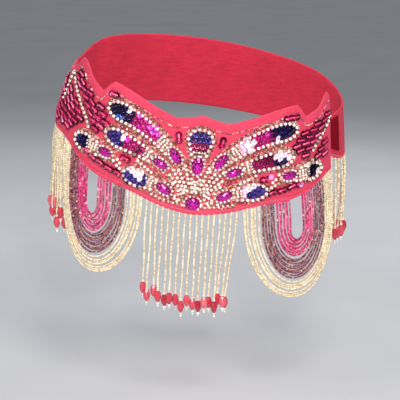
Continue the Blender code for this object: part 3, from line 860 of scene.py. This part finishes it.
def gem_rings(beadwork):
    for (cx, cy), long_half, wide_half, turn in gem_ellipses(GEM_RING_GROWTH):
        angles = np.linspace(0, 2 * math.pi, 100)
        u, v = long_half * np.cos(angles), wide_half * np.sin(angles)
        ring = np.stack([cx + u * math.cos(turn) - v * math.sin(turn),
                         cy + u * math.sin(turn) + v * math.cos(turn)], axis=1)
        for i, (x, y) in enumerate(resample(ring, GEM_RING_STEP)[:-1]):
            if i % 2:
                beadwork.add("spacer", x, y, SPACER_RADIUS, 0.8, skip_gems=False)
            else:
                beadwork.add("pearl", x, y, GEM_RING_RADIUS, 0.8, skip_gems=False)


def fan_rays(beadwork):
    """Bead rows from each petal's rim down to the jewel, and rows up the gaps between petals."""
    for name in ("center", "upper", "middle", "lower"):
        for side in sides_of(name).values():
            rim = petal_edge(name, side, RIM_WIDTH / 2)
            for x, y in (rim[0], rim[-1]):
                away = np.array((x - FOCUS[0], y - FOCUS[1]))
                near = np.array(FOCUS) + away / np.linalg.norm(away) * RAY_START
                if np.linalg.norm(away) > RAY_START + 3.0:
                    beadwork.chain(np.array(((x, y), near)), overlap=0.84)
    for degrees, start, end in GAP_RAYS:
        for side in (-1, 1):
            turn = math.radians(degrees)
            way = np.array((side * math.cos(turn), math.sin(turn)))
            spots = resample(np.array((FOCUS + way * start, FOCUS + way * end)), ROW_BEAD_PITCH / 2)
            for k, (x, y) in enumerate(spots):
                if depth_in_petals(x, y) < -0.6:
                    if k % 2:
                        beadwork.add("spacer", x, y, SPACER_RADIUS, 0.72)
                    else:
                        beadwork.add("pearl", x, y, ROW_BEAD_RADIUS, 0.84)


def pale_rows(beadwork):
    """Rows of silver beads across the pale part of each petal."""
    for name, side in PETAL_COPIES:
        start, end = of_side(PALE_ZONES, name, side)
        middle, across, half = petal_line(name, side, 400)
        place = middle[:, 1] if name == "center" else np.abs(middle[:, 0])
        for offset in np.arange(-9.0, 9.1, PALE_ROW_STEP):
            keep = (place > start) & (place < end) & (np.abs(offset) < half - 2.0)
            row = (middle + across * offset)[keep]
            if len(row) > 3:
                beadwork.chain(row, PALE_BEAD_RADIUS, PALE_BEAD_PITCH, overlap=0.82)


def jewel_beads(beadwork):
    """Crystal beads close together in the gaps round the jewel."""
    reach = JEWEL_BEAD_REACH
    for x in np.arange(-reach, reach, 1.5):
        for y in np.arange(-3.0, reach, 1.5):
            if math.hypot(x, y) < reach and depth_in_petals(x + FOCUS[0], y + FOCUS[1]) < 0:
                beadwork.add("pearl", x + FOCUS[0], y + FOCUS[1], JEWEL_BEAD_RADIUS, 0.86)


def dark_filling(beadwork):
    """Small dark beads wherever the fan's base and the pale parts leave room."""
    for j, y in enumerate(np.arange(-40.0, 60.0, 1.25)):
        for x in np.arange(-132.0 + 0.7 * (j % 2), 132.0, 1.4):
            distance = math.hypot(x - FOCUS[0], y - FOCUS[1])
            petal, depth = deepest_petal(x, y)
            degrees = math.degrees(math.atan2(y - FOCUS[1], abs(x)))
            reach = 76.0 if 14.0 < degrees < 30.0 else 118.0 if 30.0 < degrees < 46.0 else 46.0
            in_gap = depth < 0.0 and distance < reach and y > FOCUS[1] - 3.0
            in_base = False
            if depth > RIM_WIDTH:
                in_base = (y if petal[0] == "center" else abs(x)) < of_side(PALE_ZONES, *petal)[1]
            if in_gap or in_base:
                beadwork.add("spacer", x, y, FILLING_RADIUS, 0.74)


def add_beadwork(finishes):
    rng = np.random.default_rng(11)
    beadwork = Beadwork()
    for x, y, degrees in single_places():
        for a, b in pair_places(x, y, math.radians(degrees)):
            beadwork.reserve(a, b, PAILLETTE_RADIUS * 0.9)
    gem_rings(beadwork)
    for name, side in PETAL_COPIES:
        beadwork.chain(petal_edge(name, side, RIM_WIDTH / 2), RIM_BEAD_RADIUS, RIM_BEAD_PITCH, 2)
    fan_rays(beadwork)
    for line in SIDE_LINES:
        line = np.array(line)
        beadwork.chain(line, 1.6, RIM_BEAD_PITCH, 2)
        for offset in (-2.3, 2.3):
            beadwork.row("spacer", line + (offset, 0.0), SPACER_RADIUS, 2.2)
    for tail in SIDE_TAILS:
        for side in (-1, 1):
            beadwork.chain(np.array(tail) * (side, 1.0), RIM_BEAD_RADIUS, 4.7)
    pale_rows(beadwork)
    for name, side in PETAL_COPIES:
        beadwork.row("edge", petal_edge(name, side, -0.9), 0.9, 2.0)
        beadwork.row("spacer", petal_edge(name, side, -2.6), SPACER_RADIUS, 2.0)
    x = np.linspace(-176.0, 164.0, 500)
    beadwork.row("edge", np.stack([x, front_top(x) - TOP_MARGIN], axis=1), EDGE_BEAD_RADIUS, EDGE_BEAD_PITCH)
    x = np.linspace(-72.0, 72.0, 300)
    beadwork.chain(np.stack([x, front_bottom(x) + 5.0], axis=1), 1.3, ROW_BEAD_PITCH)
    jewel_beads(beadwork)
    dark_filling(beadwork)
    beadwork.build(finishes, rng)
    return beadwork


# Sequins.


def tilted_bases(x, y, turn, tilt, roll, radius):
    """Axes of a disc lying on the cloth at x, y: turned in the plane, then tipped along and across."""
    _, along, up, out = ring_frame(x, y)
    cos, sin = np.cos(turn)[:, None], np.sin(turn)[:, None]
    ahead, beside = along * cos + up * sin, up * cos - along * sin
    cos, sin = np.cos(tilt)[:, None], np.sin(tilt)[:, None]
    ahead, normal = ahead * cos + out * sin, out * cos - ahead * sin
    cos, sin = np.cos(roll)[:, None], np.sin(roll)[:, None]
    beside, normal = beside * cos + normal * sin, normal * cos - beside * sin
    return np.stack([ahead, beside, normal], axis=1) * np.asarray(radius)[:, None, None]


# Where each colour of sequin lies along a petal: from, to.
SEQUIN_ZONES = {
    "center": (("magenta", 24.5, 37.5), ("violet", 36.5, 48.5)),
    "upper": (("pale", 47.0, 56.0), ("magenta", 54.0, 82.0), ("violet", 81.0, 111.5)),
    "upper_left": (("magenta", 48.0, 82.0), ("violet", 81.0, 111.5)),
    "middle": (("magenta", 60.0, 87.0), ("violet", 86.0, 107.5)),
    "lower": (("pale", 53.0, 57.0), ("violet", 57.0, 77.5)),
    "lower_left": (("violet", 53.0, 77.5),),
    "side": (("violet", 129.5, 144.5),),
}
SEQUIN_STEP = 5.1
SEQUIN_SPREAD = 5.9
SEQUIN_RIM_SHADE = 0.45
PAILLETTE_RIM_SHADE = 0.75
# Usual tone of each petal's sequins: violet then magenta, for the left and the right.
ZONE_TONES = {
    "center": ((0.30, 0.20), (0.30, 0.20)), "upper": ((0.12, 0.62), (0.16, 0.60)),
    "middle": ((0.58, 0.42), (0.26, 0.32)), "lower": ((0.58, 0.5), (0.62, 0.5)),
    "side": ((0.30, 0.5), (0.04, 0.5)),
}
# Sequins given a painted glint or painted shade: x, y, reach and tone.
SEQUIN_LIGHTS = (
    (89.5, 42.5, 3.6, 1), (76, 52, 3.4, 0.9), (72, 48, 2.4, 0.88), (58, 40, 5.5, 1),
    (91, 27, 4.8, 1), (102, 28, 5, 1), (85, 23.5, 3.2, 1), (80, 25, 3.4, 0.1),
    (68, 23, 3.2, 0.12), (61, -8.5, 4.6, 1), (66, -6, 4, 1), (143.5, 3, 3.6, 1),
    (-96.5, 45, 3, 0.86), (-88, 27.5, 3.6, 1), (-60, -8, 6.4, 1), (-67, -6, 3.4, 1),
    (-52, 38.5, 5.2, 0.91), (-58.5, 42.5, 4.6, 0.9), (-73, 52.5, 3.6, 0.9), (-84, 55, 2.8, 1),
    (-81.5, 25, 3.4, 0.9), (-65.5, 18, 4.6, 0.02),
    (-107, 50, 4, 0.02), (-101, 52, 4, 0.04), (-4, 45, 2.6, 0.5), (-76, 46, 3, 0.3),
)


def add_sequins(finishes):
    """Overlapping cup sequins in the petals, each row tucked under the next."""
    rng = np.random.default_rng(23)
    found = {"magenta": [], "violet": [], "pale": []}
    for name, side in PETAL_COPIES:
        zones = of_side(SEQUIN_ZONES, name, side)
        middle, across, half = petal_line(name, side, 500)
        place = middle[:, 1] if name == "center" else np.abs(middle[:, 0])
        for colour, start, end in zones:
            for k, spot in enumerate(np.arange(start + 1.6, end - 0.6, SEQUIN_STEP)):
                i = int(np.argmin(np.abs(place - spot)))
                room = half[i] - RIM_WIDTH - 0.6
                count = max(2, int(round(2 * room / SEQUIN_SPREAD))) + k % 2
                ahead = math.atan2(-across[i, 0], across[i, 1])
                for offset in (np.arange(count) - (count - 1) / 2) * SEQUIN_SPREAD:
                    if abs(offset) > room + 0.9:
                        continue
                    x, y = middle[i] + across[i] * offset + rng.uniform(-0.25, 0.25, 2)
                    usual = ZONE_TONES[name][side > 0][colour == "magenta"]
                    tone = usual + rng.uniform(-0.2, 0.14)
                    if colour == "pale":
                        tone = rng.random()
                    # Near each listed spot the tone is replaced by a painted glint or painted shade.
                    for a, b, reach, light in SEQUIN_LIGHTS:
                        if (x - a) ** 2 + (y - b) ** 2 < reach ** 2:
                            tone = light + rng.uniform(-0.03, 0.03)
                    # Sequins with a painted white glint take the pale finish.
                    kind = "pale" if tone > 0.955 else colour
                    found[kind].append((x, y, ahead + rng.uniform(-0.12, 0.12), min(1, max(0, tone))))
    for colour, rows in found.items():
        x, y, turn, tone = np.array(rows).T
        tilt = -0.25 + rng.uniform(-0.03, 0.03, len(x))
        roll = 0.13 + rng.uniform(-0.02, 0.02, len(x))
        lift = SEAM_GAP + PETAL_FIELD + 0.9 + 0 * x
        obj = scatter(colour + "_sequins", SEQUIN, wrap(x, y, lift),
                      tilted_bases(x, y, turn, tilt, roll, np.full(len(x), SEQUIN_RADIUS)),
                      tone, finishes[colour], True, SEQUIN_RIM_SHADE)
        on_body(obj, "sequin_pad")


# Single dark sequins with a bugle bead: place and turn of the bugle in degrees.
ON_BOTH_SIDES = (
    (24.5, 37.5, 78.0), (84.5, -14.5, 18.0), (96.0, -12.5, 14.0), (107.5, -9.0, 22.0), (118.0, -6.5, 24.0),
)
ON_ONE_SIDE = (
    (-129.0, -1.5, -24.0), (-110.0, 66.5, -4.0), (101.5, 65.8, 12.0), (110.5, 66.6, 8.0), (75.5, 0.0, 8.0),
    (-79.5, 3.0, -12.0),
)
RIGHT_PALE = ((82.5, 2.5), (119.5, -8.0), (127.0, 13.5))
FIELD_STEP = (12.2, 6.1)
FIELD_START = 112.5


def single_places():
    """The sequins placed one by one, on both sides."""
    paired = [(side * x, y, side * degrees) for side in (-1, 1) for x, y, degrees in ON_BOTH_SIDES]
    return paired + list(ON_ONE_SIDE)


def pair_places(x, y, turn):
    """The places of the two sequins under each bugle."""
    away = np.stack([np.cos(turn), np.sin(turn)]) * PAILLETTE_SHIFT
    return np.array([np.stack([x, y]) - away, np.stack([x, y]) + away])


def field_room(beadwork, x, y):
    """Whether a sequin of the field may lie at a point: clear of the edges, petals and bead lines."""
    if not float(front_bottom(x)) + 5.4 < y < float(front_top(x)) - TOP_MARGIN - 2.0:
        return False
    if depth_in_petals(x, y) > -3.2:
        return False
    return all((x - a) ** 2 + (y - b) ** 2 > (r + 1.2) ** 2 for a, b, r in beadwork.near(x, y))


def paillette_field(beadwork, rng):
    """Places of the dark sequins: rows slanting up and out, clear of petals and bead lines."""
    rows = [(x, y, math.radians(degrees), rng.uniform(0.0, 0.8)) for x, y, degrees in single_places()]
    step_x, step_y = FIELD_STEP
    tip_x, tip_y = PETALS["side"][2]
    for side in (-1, 1):
        far = 228.0 if side < 0 else 160.8
        for row in range(-4, 17):
            for column in range(10):
                x = FIELD_START + column * step_x + (row % 2) * step_x / 2 + rng.uniform(-1.0, 1.0)
                y = -2.0 + row * step_y + (x - FIELD_START) * 0.14 + rng.uniform(-0.8, 0.8)
                slope = math.radians((22.0 if side < 0 else 10.0) + rng.uniform(-15.0, 15.0)) * side
                tone = rng.random()
                below = x < tip_x and y < tip_y + 4.0
                if x > far or below:
                    continue
                if all(field_room(beadwork, *place) for place in pair_places(side * x, y, slope)):
                    rows.append((side * x, y, slope, tone))
    return np.array(rows).T


def add_paillettes(finishes, beadwork):
    rng = np.random.default_rng(31)
    x, y, turn, tone = paillette_field(beadwork, rng)
    pairs = pair_places(x, y, turn)
    cup_x, cup_y = pairs[:, 0].reshape(-1), pairs[:, 1].reshape(-1)
    none = np.zeros(len(cup_x))
    bases = tilted_bases(cup_x, cup_y, np.tile(turn, 2), rng.uniform(-0.2, -0.08, len(none)), none,
                         none + PAILLETTE_RADIUS)
    obj = scatter("dark_sequins", CUP, wrap(cup_x, cup_y, rng.uniform(0.45, 0.85, len(none))), bases,
                  rng.random(len(none)), finishes["paillette"], True, PAILLETTE_RIM_SHADE)
    on_body(obj, "sequin_pad")
    none = np.zeros(len(x))
    bases = tilted_bases(x, y, turn, none, none, none + 1.0)
    bases = np.stack([bases[:, 1] * BUGLE_RADIUS, bases[:, 2] * BUGLE_RADIUS,
                      bases[:, 0] * BUGLE_LENGTH], axis=1)
    obj = scatter("bugles", BUGLE, wrap(x, y, none + 2.1), bases, tone, finishes["bugle"], True)
    on_body(obj, "sequin_pad")
    x, y = np.array(RIGHT_PALE).T
    bases = tilted_bases(x, y, 0 * x + 0.3, 0 * x - 0.15, 0 * x, 0 * x + 3.2)
    lift = np.array([ground(*spot) + 1.6 for spot in RIGHT_PALE])
    obj = scatter("single_sequins", SEQUIN, wrap(x, y, lift), bases, np.array((0.0, 0.3, 0.9)),
                  finishes["pale"], True)
    on_body(obj, "sequin_pad")


# Stones.


def stone_points(length, width, pear):
    """A cut stone in its own axes: rings of points from the back to the flat table."""
    rings = []
    for height, size, shift in ((0.0, 0.93, 0.0), (0.35, 1.0, 0.0), (GEM_GIRDLE, 1.0, 0.0),
                                (2.0, 0.84, 0.5), (3.0, 0.52, 0.0), (GEM_HEIGHT, 0.26, 0.5)):
        angle = 2 * math.pi * (np.arange(STONE_SIDES) + shift) / STONE_SIDES
        cos, sin = np.cos(angle), np.sin(angle)
        u = np.sign(cos) * np.abs(cos) ** 0.85 * length / 2
        v = np.sign(sin) * np.abs(sin) ** 0.85 * width / 2
        v = v * (1 + pear * u / length)
        rings.append(np.stack([u * size, v * size, np.full(STONE_SIDES, height)], axis=1))
    return rings


def add_stone(name, centre, length, width, degrees, side, seat, finish, rng):
    """A faceted stone: its crown's narrow facets are painted light and dark in turn, painted glints standing
    for a fluted cut.
    """
    turn = math.radians(degrees if side > 0 else 180.0 - degrees)
    point, along, up, out = ring_frame(side * centre[0], centre[1])
    long_way = along * math.cos(turn) + up * math.sin(turn)
    wide_way = np.cross(out, long_way)
    rings = stone_points(length, width, 0.35 if name == "stone_center" else 0.0)
    # Each face's painted tone: the crown's facets alternate between painted glints and painted shade.
    faces, painted_facet_tones = [], []
    for row in range(len(rings) - 1):
        low, high = row * STONE_SIDES, (row + 1) * STONE_SIDES
        for i in range(STONE_SIDES):
            j = (i + 1) % STONE_SIDES
            if row < 2:
                faces.append((low + i, low + j, high + j, high + i))
                painted_facet_tones.append(0.2)
            elif row % 2 == 0:
                faces += [(low + i, low + j, high + i), (low + j, high + j, high + i)]
                painted_facet_tones += [0.08, 0.86 if i % 2 else 0.3]
            else:
                faces += [(low + i, low + j, high + j), (low + i, high + j, high + i)]
                painted_facet_tones += [0.22, 1.0 if i % 2 else 0.12]
    last = (len(rings) - 1) * STONE_SIDES
    faces += [tuple(range(STONE_SIDES))[::-1], tuple(range(last, last + STONE_SIDES))]
    painted_facet_tones += [0.3, 0.6]
    local = np.concatenate(rings)
    spots = point + out * seat + local[:, :1] * long_way + local[:, 1:2] * wide_way + local[:, 2:] * out
    tones = []
    # Painted highlight gathers at the lower end of the stone, and painted glints of the fluted cut show on
    # the rest.
    highlight_turn = math.radians(-90.0 - (degrees if side > 0 else 180.0 - degrees)) + rng.uniform(-0.7, 0.7)
    for face, painted_facet_tone in zip(faces, painted_facet_tones):
        u, v, _ = local[list(face)].mean(axis=0)
        lit = max(0.0, math.cos(math.atan2(v / width, u / length) - highlight_turn))
        shade = painted_facet_tone * (1 - 0.8 * lit) + 0.72 * lit + rng.uniform(-0.05, 0.05)
        tones += [min(1.0, max(0.0, shade))] * len(face)
    obj = mesh_object(name, spots, faces, finish, False)
    obj.data.attributes.new("tone", "FLOAT", "CORNER").data.foreach_set("value", np.array(tones, np.float32))
    return obj


def add_stones(finishes):
    rng = np.random.default_rng(47)
    on_rim = SEAM_GAP + PETAL_RIM + SEAM_GAP
    for name, (centre, length, width, degrees) in GEMS.items():
        for suffix, side in sides_of(name).items():
            node = "gem_" + name + suffix
            stone = add_stone("stone_" + name + suffix, centre, length, width, degrees, side, on_rim,
                              finishes["gem"], rng)
            on_body(stone, "magenta_gem", node)
    stone = add_stone("stone_jewel", *JEWEL, 1, SEAM_GAP, finishes["gem"], rng)
    on_body(stone, "magenta_gem", "jewel_base")


# Strands.


def tape_top(x):
    x = np.asarray(x, float)
    return np.where(x > FRONT_RIGHT_END, BACK_BOTTOM(x), front_bottom(x)) - SEAM_GAP


def tape_lift(x):
    x = np.asarray(x, float)
    return np.where(x > FRONT_RIGHT_END, BACK_LIFT(x), 0.0)


def roots(x):
    """Strand roots in the header tape, and the level way out from the hip."""
    point, _, _, out = ring_frame(x, tape_top(x) - TAPE_HEIGHT / 2)
    point = point + out * (tape_lift(x) - WALL / 2)[..., None]
    return point, unit(out * LEVEL)


def swing(depth):
    return FLARE * (1 - np.exp(-depth / FLARE_DEPTH))


def blend(ends, part):
    return ends[0] + (ends[1] - ends[0]) * part


def straight_paths(group, places_between=()):
    """Paths of a group's strands from root to end, and the depth at which each drop bead starts."""
    count, places, lengths, leans, gather, apart = group
    paths = []
    for i in list(range(count)) + list(places_between):
        part = i / (count - 1)
        whole = i == int(i)
        i = int(i)
        start, out = roots(blend(places, part))
        lean = blend(leans, part) + gather * (max(0.0, part - GATHER_FROM) / (1 - GATHER_FROM)) ** 2
        spread = (apart if i % 2 else -apart) if whole else 0.0
        reach = blend(lengths, part) + LENGTH_PATTERN[i % len(LENGTH_PATTERN)] - (0.0 if whole else 9.0)
        depth = np.linspace(0.0, reach + 18.0, 220)
        fall = np.minimum(1.0, depth / reach)
        offset = np.stack([lean * fall, 0 * depth, -depth], axis=1)
        offset = offset + out * (swing(depth) + spread * fall * fall)[:, None]
        paths.append((start + offset, depth, reach))
    return paths


def loop_path(inner, outer, depth, side):
    ends = (side * inner, side * outer)
    tops = [float(roots(x)[0][2]) for x in ends]
    lowest = float(roots(side * SWAG_CENTER)[0][2]) - depth
    bow = min(BOW * (outer - inner) / 2, min(tops) - lowest - SHORTEST_LEG)
    angle = np.linspace(0.0, math.pi, 120)
    part = np.concatenate((np.zeros(40), (1 - np.cos(angle)) / 2, np.ones(40)))
    z = np.concatenate((np.linspace(tops[0], lowest + bow, 41)[:-1], lowest + bow * (1 - np.sin(angle)),
                        np.linspace(lowest + bow, tops[1], 41)[1:]))
    point, out = roots(blend(ends, part))
    drop = blend(tops, part) - z
    point = np.stack([point[:, 0], point[:, 1], z], axis=1)
    return point + out * swing(drop)[:, None]


def beads_on(path, rng, radius=SEED_RADIUS, wave=0.3):
    """Seed beads threaded along a path in space: their origins, axes and tones."""
    path = resample(path, SEED_PITCH)
    tangent = unit(np.gradient(path, axis=0))
    beside = unit(np.cross(tangent, ASKEW))
    other = np.cross(tangent, beside)
    s = np.arange(len(path)) * SEED_PITCH
    ramp = np.minimum(1.0, np.minimum(s, s[::-1]) / 14.0)
    sway = wave * ramp * np.sin(s / rng.uniform(9.0, 15.0) + rng.uniform(0, 6.3))
    jitter = rng.normal(0, 0.09, (2, len(path))) * ramp
    origins = path + beside * (sway + jitter[0])[:, None] + other * jitter[1][:, None]
    size = radius * rng.uniform(0.9, 1.04, len(path))
    length = SEED_PITCH * rng.uniform(0.86, 0.99, len(path))
    tilt = rng.normal(0, 0.10, (2, len(path)))
    axis = unit(tangent + beside * tilt[0][:, None] + other * tilt[1][:, None])
    first = unit(np.cross(axis, ASKEW))
    second = np.cross(axis, first)
    bases = np.stack([first * size[:, None], second * size[:, None], axis * length[:, None]], axis=1)
    return origins, bases, rng.random(len(path))


def joined(parts):
    return tuple(np.concatenate(column) for column in zip(*parts))


def add_straight(node, group, finishes, rng, places_between=()):
    seeds, drops, ends = [], [], []
    for path, depth, reach in straight_paths(group, places_between):
        seeds.append(beads_on(path[depth <= reach - 1.2], rng, FRINGE_SEED_RADIUS, 0.45))
        def at(level):
            return np.array([np.interp(level, depth, path[:, k]) for k in range(3)])
        down = at(reach + 14.0) - at(reach)
        down /= np.linalg.norm(down)
        first = np.cross(down, (0.0, 1.0, 0.0))
        first /= np.linalg.norm(first)
        turn = rng.uniform(0, 6.3)
        second = np.cross(down, first)
        cos, sin = math.cos(turn), math.sin(turn)
        first, second = first * cos + second * sin, second * cos - first * sin
        tone = np.array([rng.random()])
        drops.append((at(reach)[None], np.stack([first, second, down])[None], tone))
        for level, radius in ((reach - 0.2, 1.5), (reach + 15.0, 1.75), (reach + 17.7, 1.15)):
            ends.append((at(level)[None], random_turns(rng, 1) * radius, np.array([rng.random()])))
    for name, parts, shape, finish, smooth in (
            ("seeds", seeds, SEED, "ivory", True), ("drops", drops, DROP, "drop", False),
            ("ends", ends, BEAD, "silver", False)):
        obj = scatter(node + "_" + name, shape, *joined(parts), finishes[finish], smooth)
        on_body(obj, "ivory_beads", node)


def add_swag(node, side, finishes, rng):
    """Nested loops; between the solid's own loops lie more, a little nearer the hip."""
    for colour, (count, inner_roots, outer_roots, depths) in SWAG_COLOURS.items():
        parts = []
        for i in range(2 * count - 1):
            if colour == "ivory" and i % 4 == 1:
                continue
            part = i / (2 * count - 2)
            path = loop_path(blend(inner_roots, part), blend(outer_roots, part), blend(depths, part), side)
            if i % 2:
                path = path - unit(path * LEVEL) * BACK_LOOP_SETBACK
            parts.append(beads_on(path, rng))
        obj = scatter(node + "_" + colour, SEED, *joined(parts), finishes[colour], True)
        on_body(obj, "swag_beads", node)


def add_tapes(finishes):
    """The header tapes: narrow folded strips of the same cloth."""
    tapes = []
    for node, (start, end) in SPAN_OF_TAPES.items():
        places = cloth_places(start, end, 1.8)
        tape = cloth_band(node + "_tape", places, 7, lambda x: tape_top(x) - TAPE_HEIGHT, tape_top,
                          tape_lift, (), None, finishes["cloth"])
        slot_name = "swag_beads" if node.startswith("swag") else "ivory_beads"
        tapes.append(on_body(tape, slot_name, node))
    return tapes


def add_strands(finishes):
    rng = np.random.default_rng(61)
    add_straight("fringe_center", CENTER_GROUP, finishes, rng)
    add_straight("fringe_side_left", LEFT_SIDE_GROUP, finishes, rng, MORE_LEFT_STRANDS)
    add_straight("fringe_side_right", RIGHT_SIDE_GROUP, finishes, rng)
    add_swag("swag_left", -1, finishes, rng)
    add_swag("swag_right", 1, finishes, rng)


# Stitches.


def stitch_line(x, y, lift, length=2.4, pitch=3.6, radius=0.28):
    """Short stitches along a line of the pattern."""
    path = resample(np.stack([x, y, lift], axis=1), pitch)
    tangent = unit(np.gradient(path[:, :2], axis=0))
    _, along, up, out = ring_frame(path[:, 0], path[:, 1])
    ahead = along * tangent[:, :1] + up * tangent[:, 1:]
    beside = np.cross(out, ahead)
    bases = np.stack([beside * radius, out * radius, ahead * length], axis=1)
    return wrap(path[:, 0], path[:, 1], path[:, 2]), bases


def add_stitches(finishes):
    rng = np.random.default_rng(71)
    outside, inside = 0.3, WALL - 0.12
    front_span, back_span = (FRONT_LEFT_END, FRONT_RIGHT_END, 400), (FRONT_RIGHT_END, BACK_SEAM, 500)
    back_inner_span = (TAB_END, BACK_SEAM, 500)
    lines = []
    for (start, end, count), edge, away, lift, depth in (
            (front_span, front_bottom, FRONT_HEM[1], flat, outside),
            (front_span, front_top, -FRONT_HEM[0], flat, outside),
            (back_span, BACK_BOTTOM, BACK_HEM[1], BACK_LIFT, outside),
            (back_span, BACK_TOP, -BACK_HEM[0], BACK_LIFT, outside),
            (front_span, front_top, -FRONT_HEM[0], flat, inside),
            (front_span, front_bottom, FRONT_HEM[1], flat, inside),
            (back_inner_span, BACK_TOP, -BACK_HEM[0], BACK_LIFT, inside),
            (back_inner_span, BACK_BOTTOM, BACK_HEM[1], BACK_LIFT, inside)):
        x = np.linspace(start + 3, end - 3, count)
        lines.append(stitch_line(x, edge(x) + away, lift(x) - depth))
    for place, low, high, lift in ((FRONT_LEFT_END + 3.0, front_bottom, front_top, flat),
                                   (BACK_SEAM - 3.0, BACK_BOTTOM, BACK_TOP, BACK_LIFT)):
        bottom, top = float(low(np.array(place))) + 4, float(high(np.array(place))) - 4
        y = np.linspace(bottom, top, 60)
        lines.append(stitch_line(np.full(60, place), y, np.full(60, float(lift(np.array(place))) + 0.05)))
    origins, bases = joined(lines)
    obj = scatter("stitches", STITCH, origins, bases, rng.random(len(origins)), finishes["thread"], True)
    on_body(obj, "coral_cloth")


# The room.


def add_camera():
    """The photograph's view: from a little above the front, aimed below the ring's middle."""
    camera = bpy.data.objects.new("camera", bpy.data.cameras.new("camera"))
    camera.data.lens = FOCAL_PIXELS / IMAGE_PIXELS * SENSOR
    camera.data.sensor_width = SENSOR
    camera.location = (0.0, -CAMERA_DISTANCE * math.cos(CAMERA_ELEVATION),
                       CAMERA_DISTANCE * math.sin(CAMERA_ELEVATION))
    below = math.atan((IMAGE_PIXELS / 2 - RING_MIDDLE_PIXEL[1]) / FOCAL_PIXELS)
    aside = math.atan((IMAGE_PIXELS / 2 - RING_MIDDLE_PIXEL[0]) / FOCAL_PIXELS)
    camera.rotation_euler = (math.pi / 2 - CAMERA_ELEVATION - below, 0.0, -aside)
    bpy.context.scene.collection.objects.link(camera)
    bpy.context.scene.camera = camera


def add_light(name, place, target, size, watts, colour):
    lamp = bpy.data.lights.new(name, "AREA")
    lamp.shape = "DISK"
    lamp.size = size
    lamp.energy = watts
    lamp.color = colour
    obj = bpy.data.objects.new(name, lamp)
    obj.location = place
    obj.rotation_euler = (Vector(target) - Vector(place)).to_track_quat("-Z", "Y").to_euler()
    bpy.context.scene.collection.objects.link(obj)


def add_room():
    world = bpy.data.worlds.new("studio")
    world.use_nodes = True
    background = world.node_tree.nodes["Background"]
    background.inputs["Color"].default_value = (0.92, 0.95, 1.0, 1.0)
    background.inputs["Strength"].default_value = 0.34
    bpy.context.scene.world = world
    bpy.context.scene.view_settings.view_transform = "Standard"
    middle = (0.0, 0.0, -0.03)
    add_light("key", (0.25, -1.6, 1.2), middle, 0.6, 22.0, (1.0, 0.97, 0.92))
    add_light("flash", (0.10, -1.75, 0.45), middle, 0.14, 15.4, (1.0, 0.98, 0.95))
    add_light("fill", (-1.2, -1.2, 0.5), middle, 1.0, 5.0, (0.95, 0.97, 1.0))
    add_light("back", (0.3, 1.5, 1.3), middle, 0.9, 19.0, (1.0, 1.0, 1.0))

    bm = bmesh.new()
    bmesh.ops.create_grid(bm, x_segments=1, y_segments=1, size=12.0)
    mesh = bpy.data.meshes.new("floor")
    bm.to_mesh(mesh)
    bm.free()
    finish = Finish("pale_floor", srgb(196, 198, 202), 0.8)
    finish.colour(finish.ramp(finish.noise(3.0), ((0.3, srgb(192, 194, 198)), (0.7, srgb(199, 201, 205)))))
    mesh.materials.append(finish.material)
    floor = bpy.data.objects.new("floor", mesh)
    floor.location.z = FLOOR_LEVEL
    bpy.context.scene.collection.objects.link(floor)


def pattern_area(low, high, start, end):
    """A panel's cut area and height, in metres."""
    x = np.linspace(start, end, 800)
    height = high(x) - low(x)
    return float(height.mean()) * (end - start) * MM * MM, float(high(x).max() - low(x).min()) * MM


add_camera()
add_room()
finishes = make_finishes()
front, back = add_cloth(finishes)
add_closure(finishes)
for node_name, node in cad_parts.items():
    if node_name.startswith("petal_"):
        node.data.materials.clear()
        node.data.materials.append(finishes["pad"])
beads = add_beadwork(finishes)
add_sequins(finishes)
add_paillettes(finishes, beads)
add_stones(finishes)
tapes = add_tapes(finishes)
add_strands(finishes)
add_stitches(finishes)

area, height = pattern_area(front_bottom, front_top, FRONT_LEFT_END, FRONT_RIGHT_END)
area, height = pattern_area(BACK_BOTTOM, BACK_TOP, TAB_END, BACK_SEAM)

bpy.context.view_layer.update()
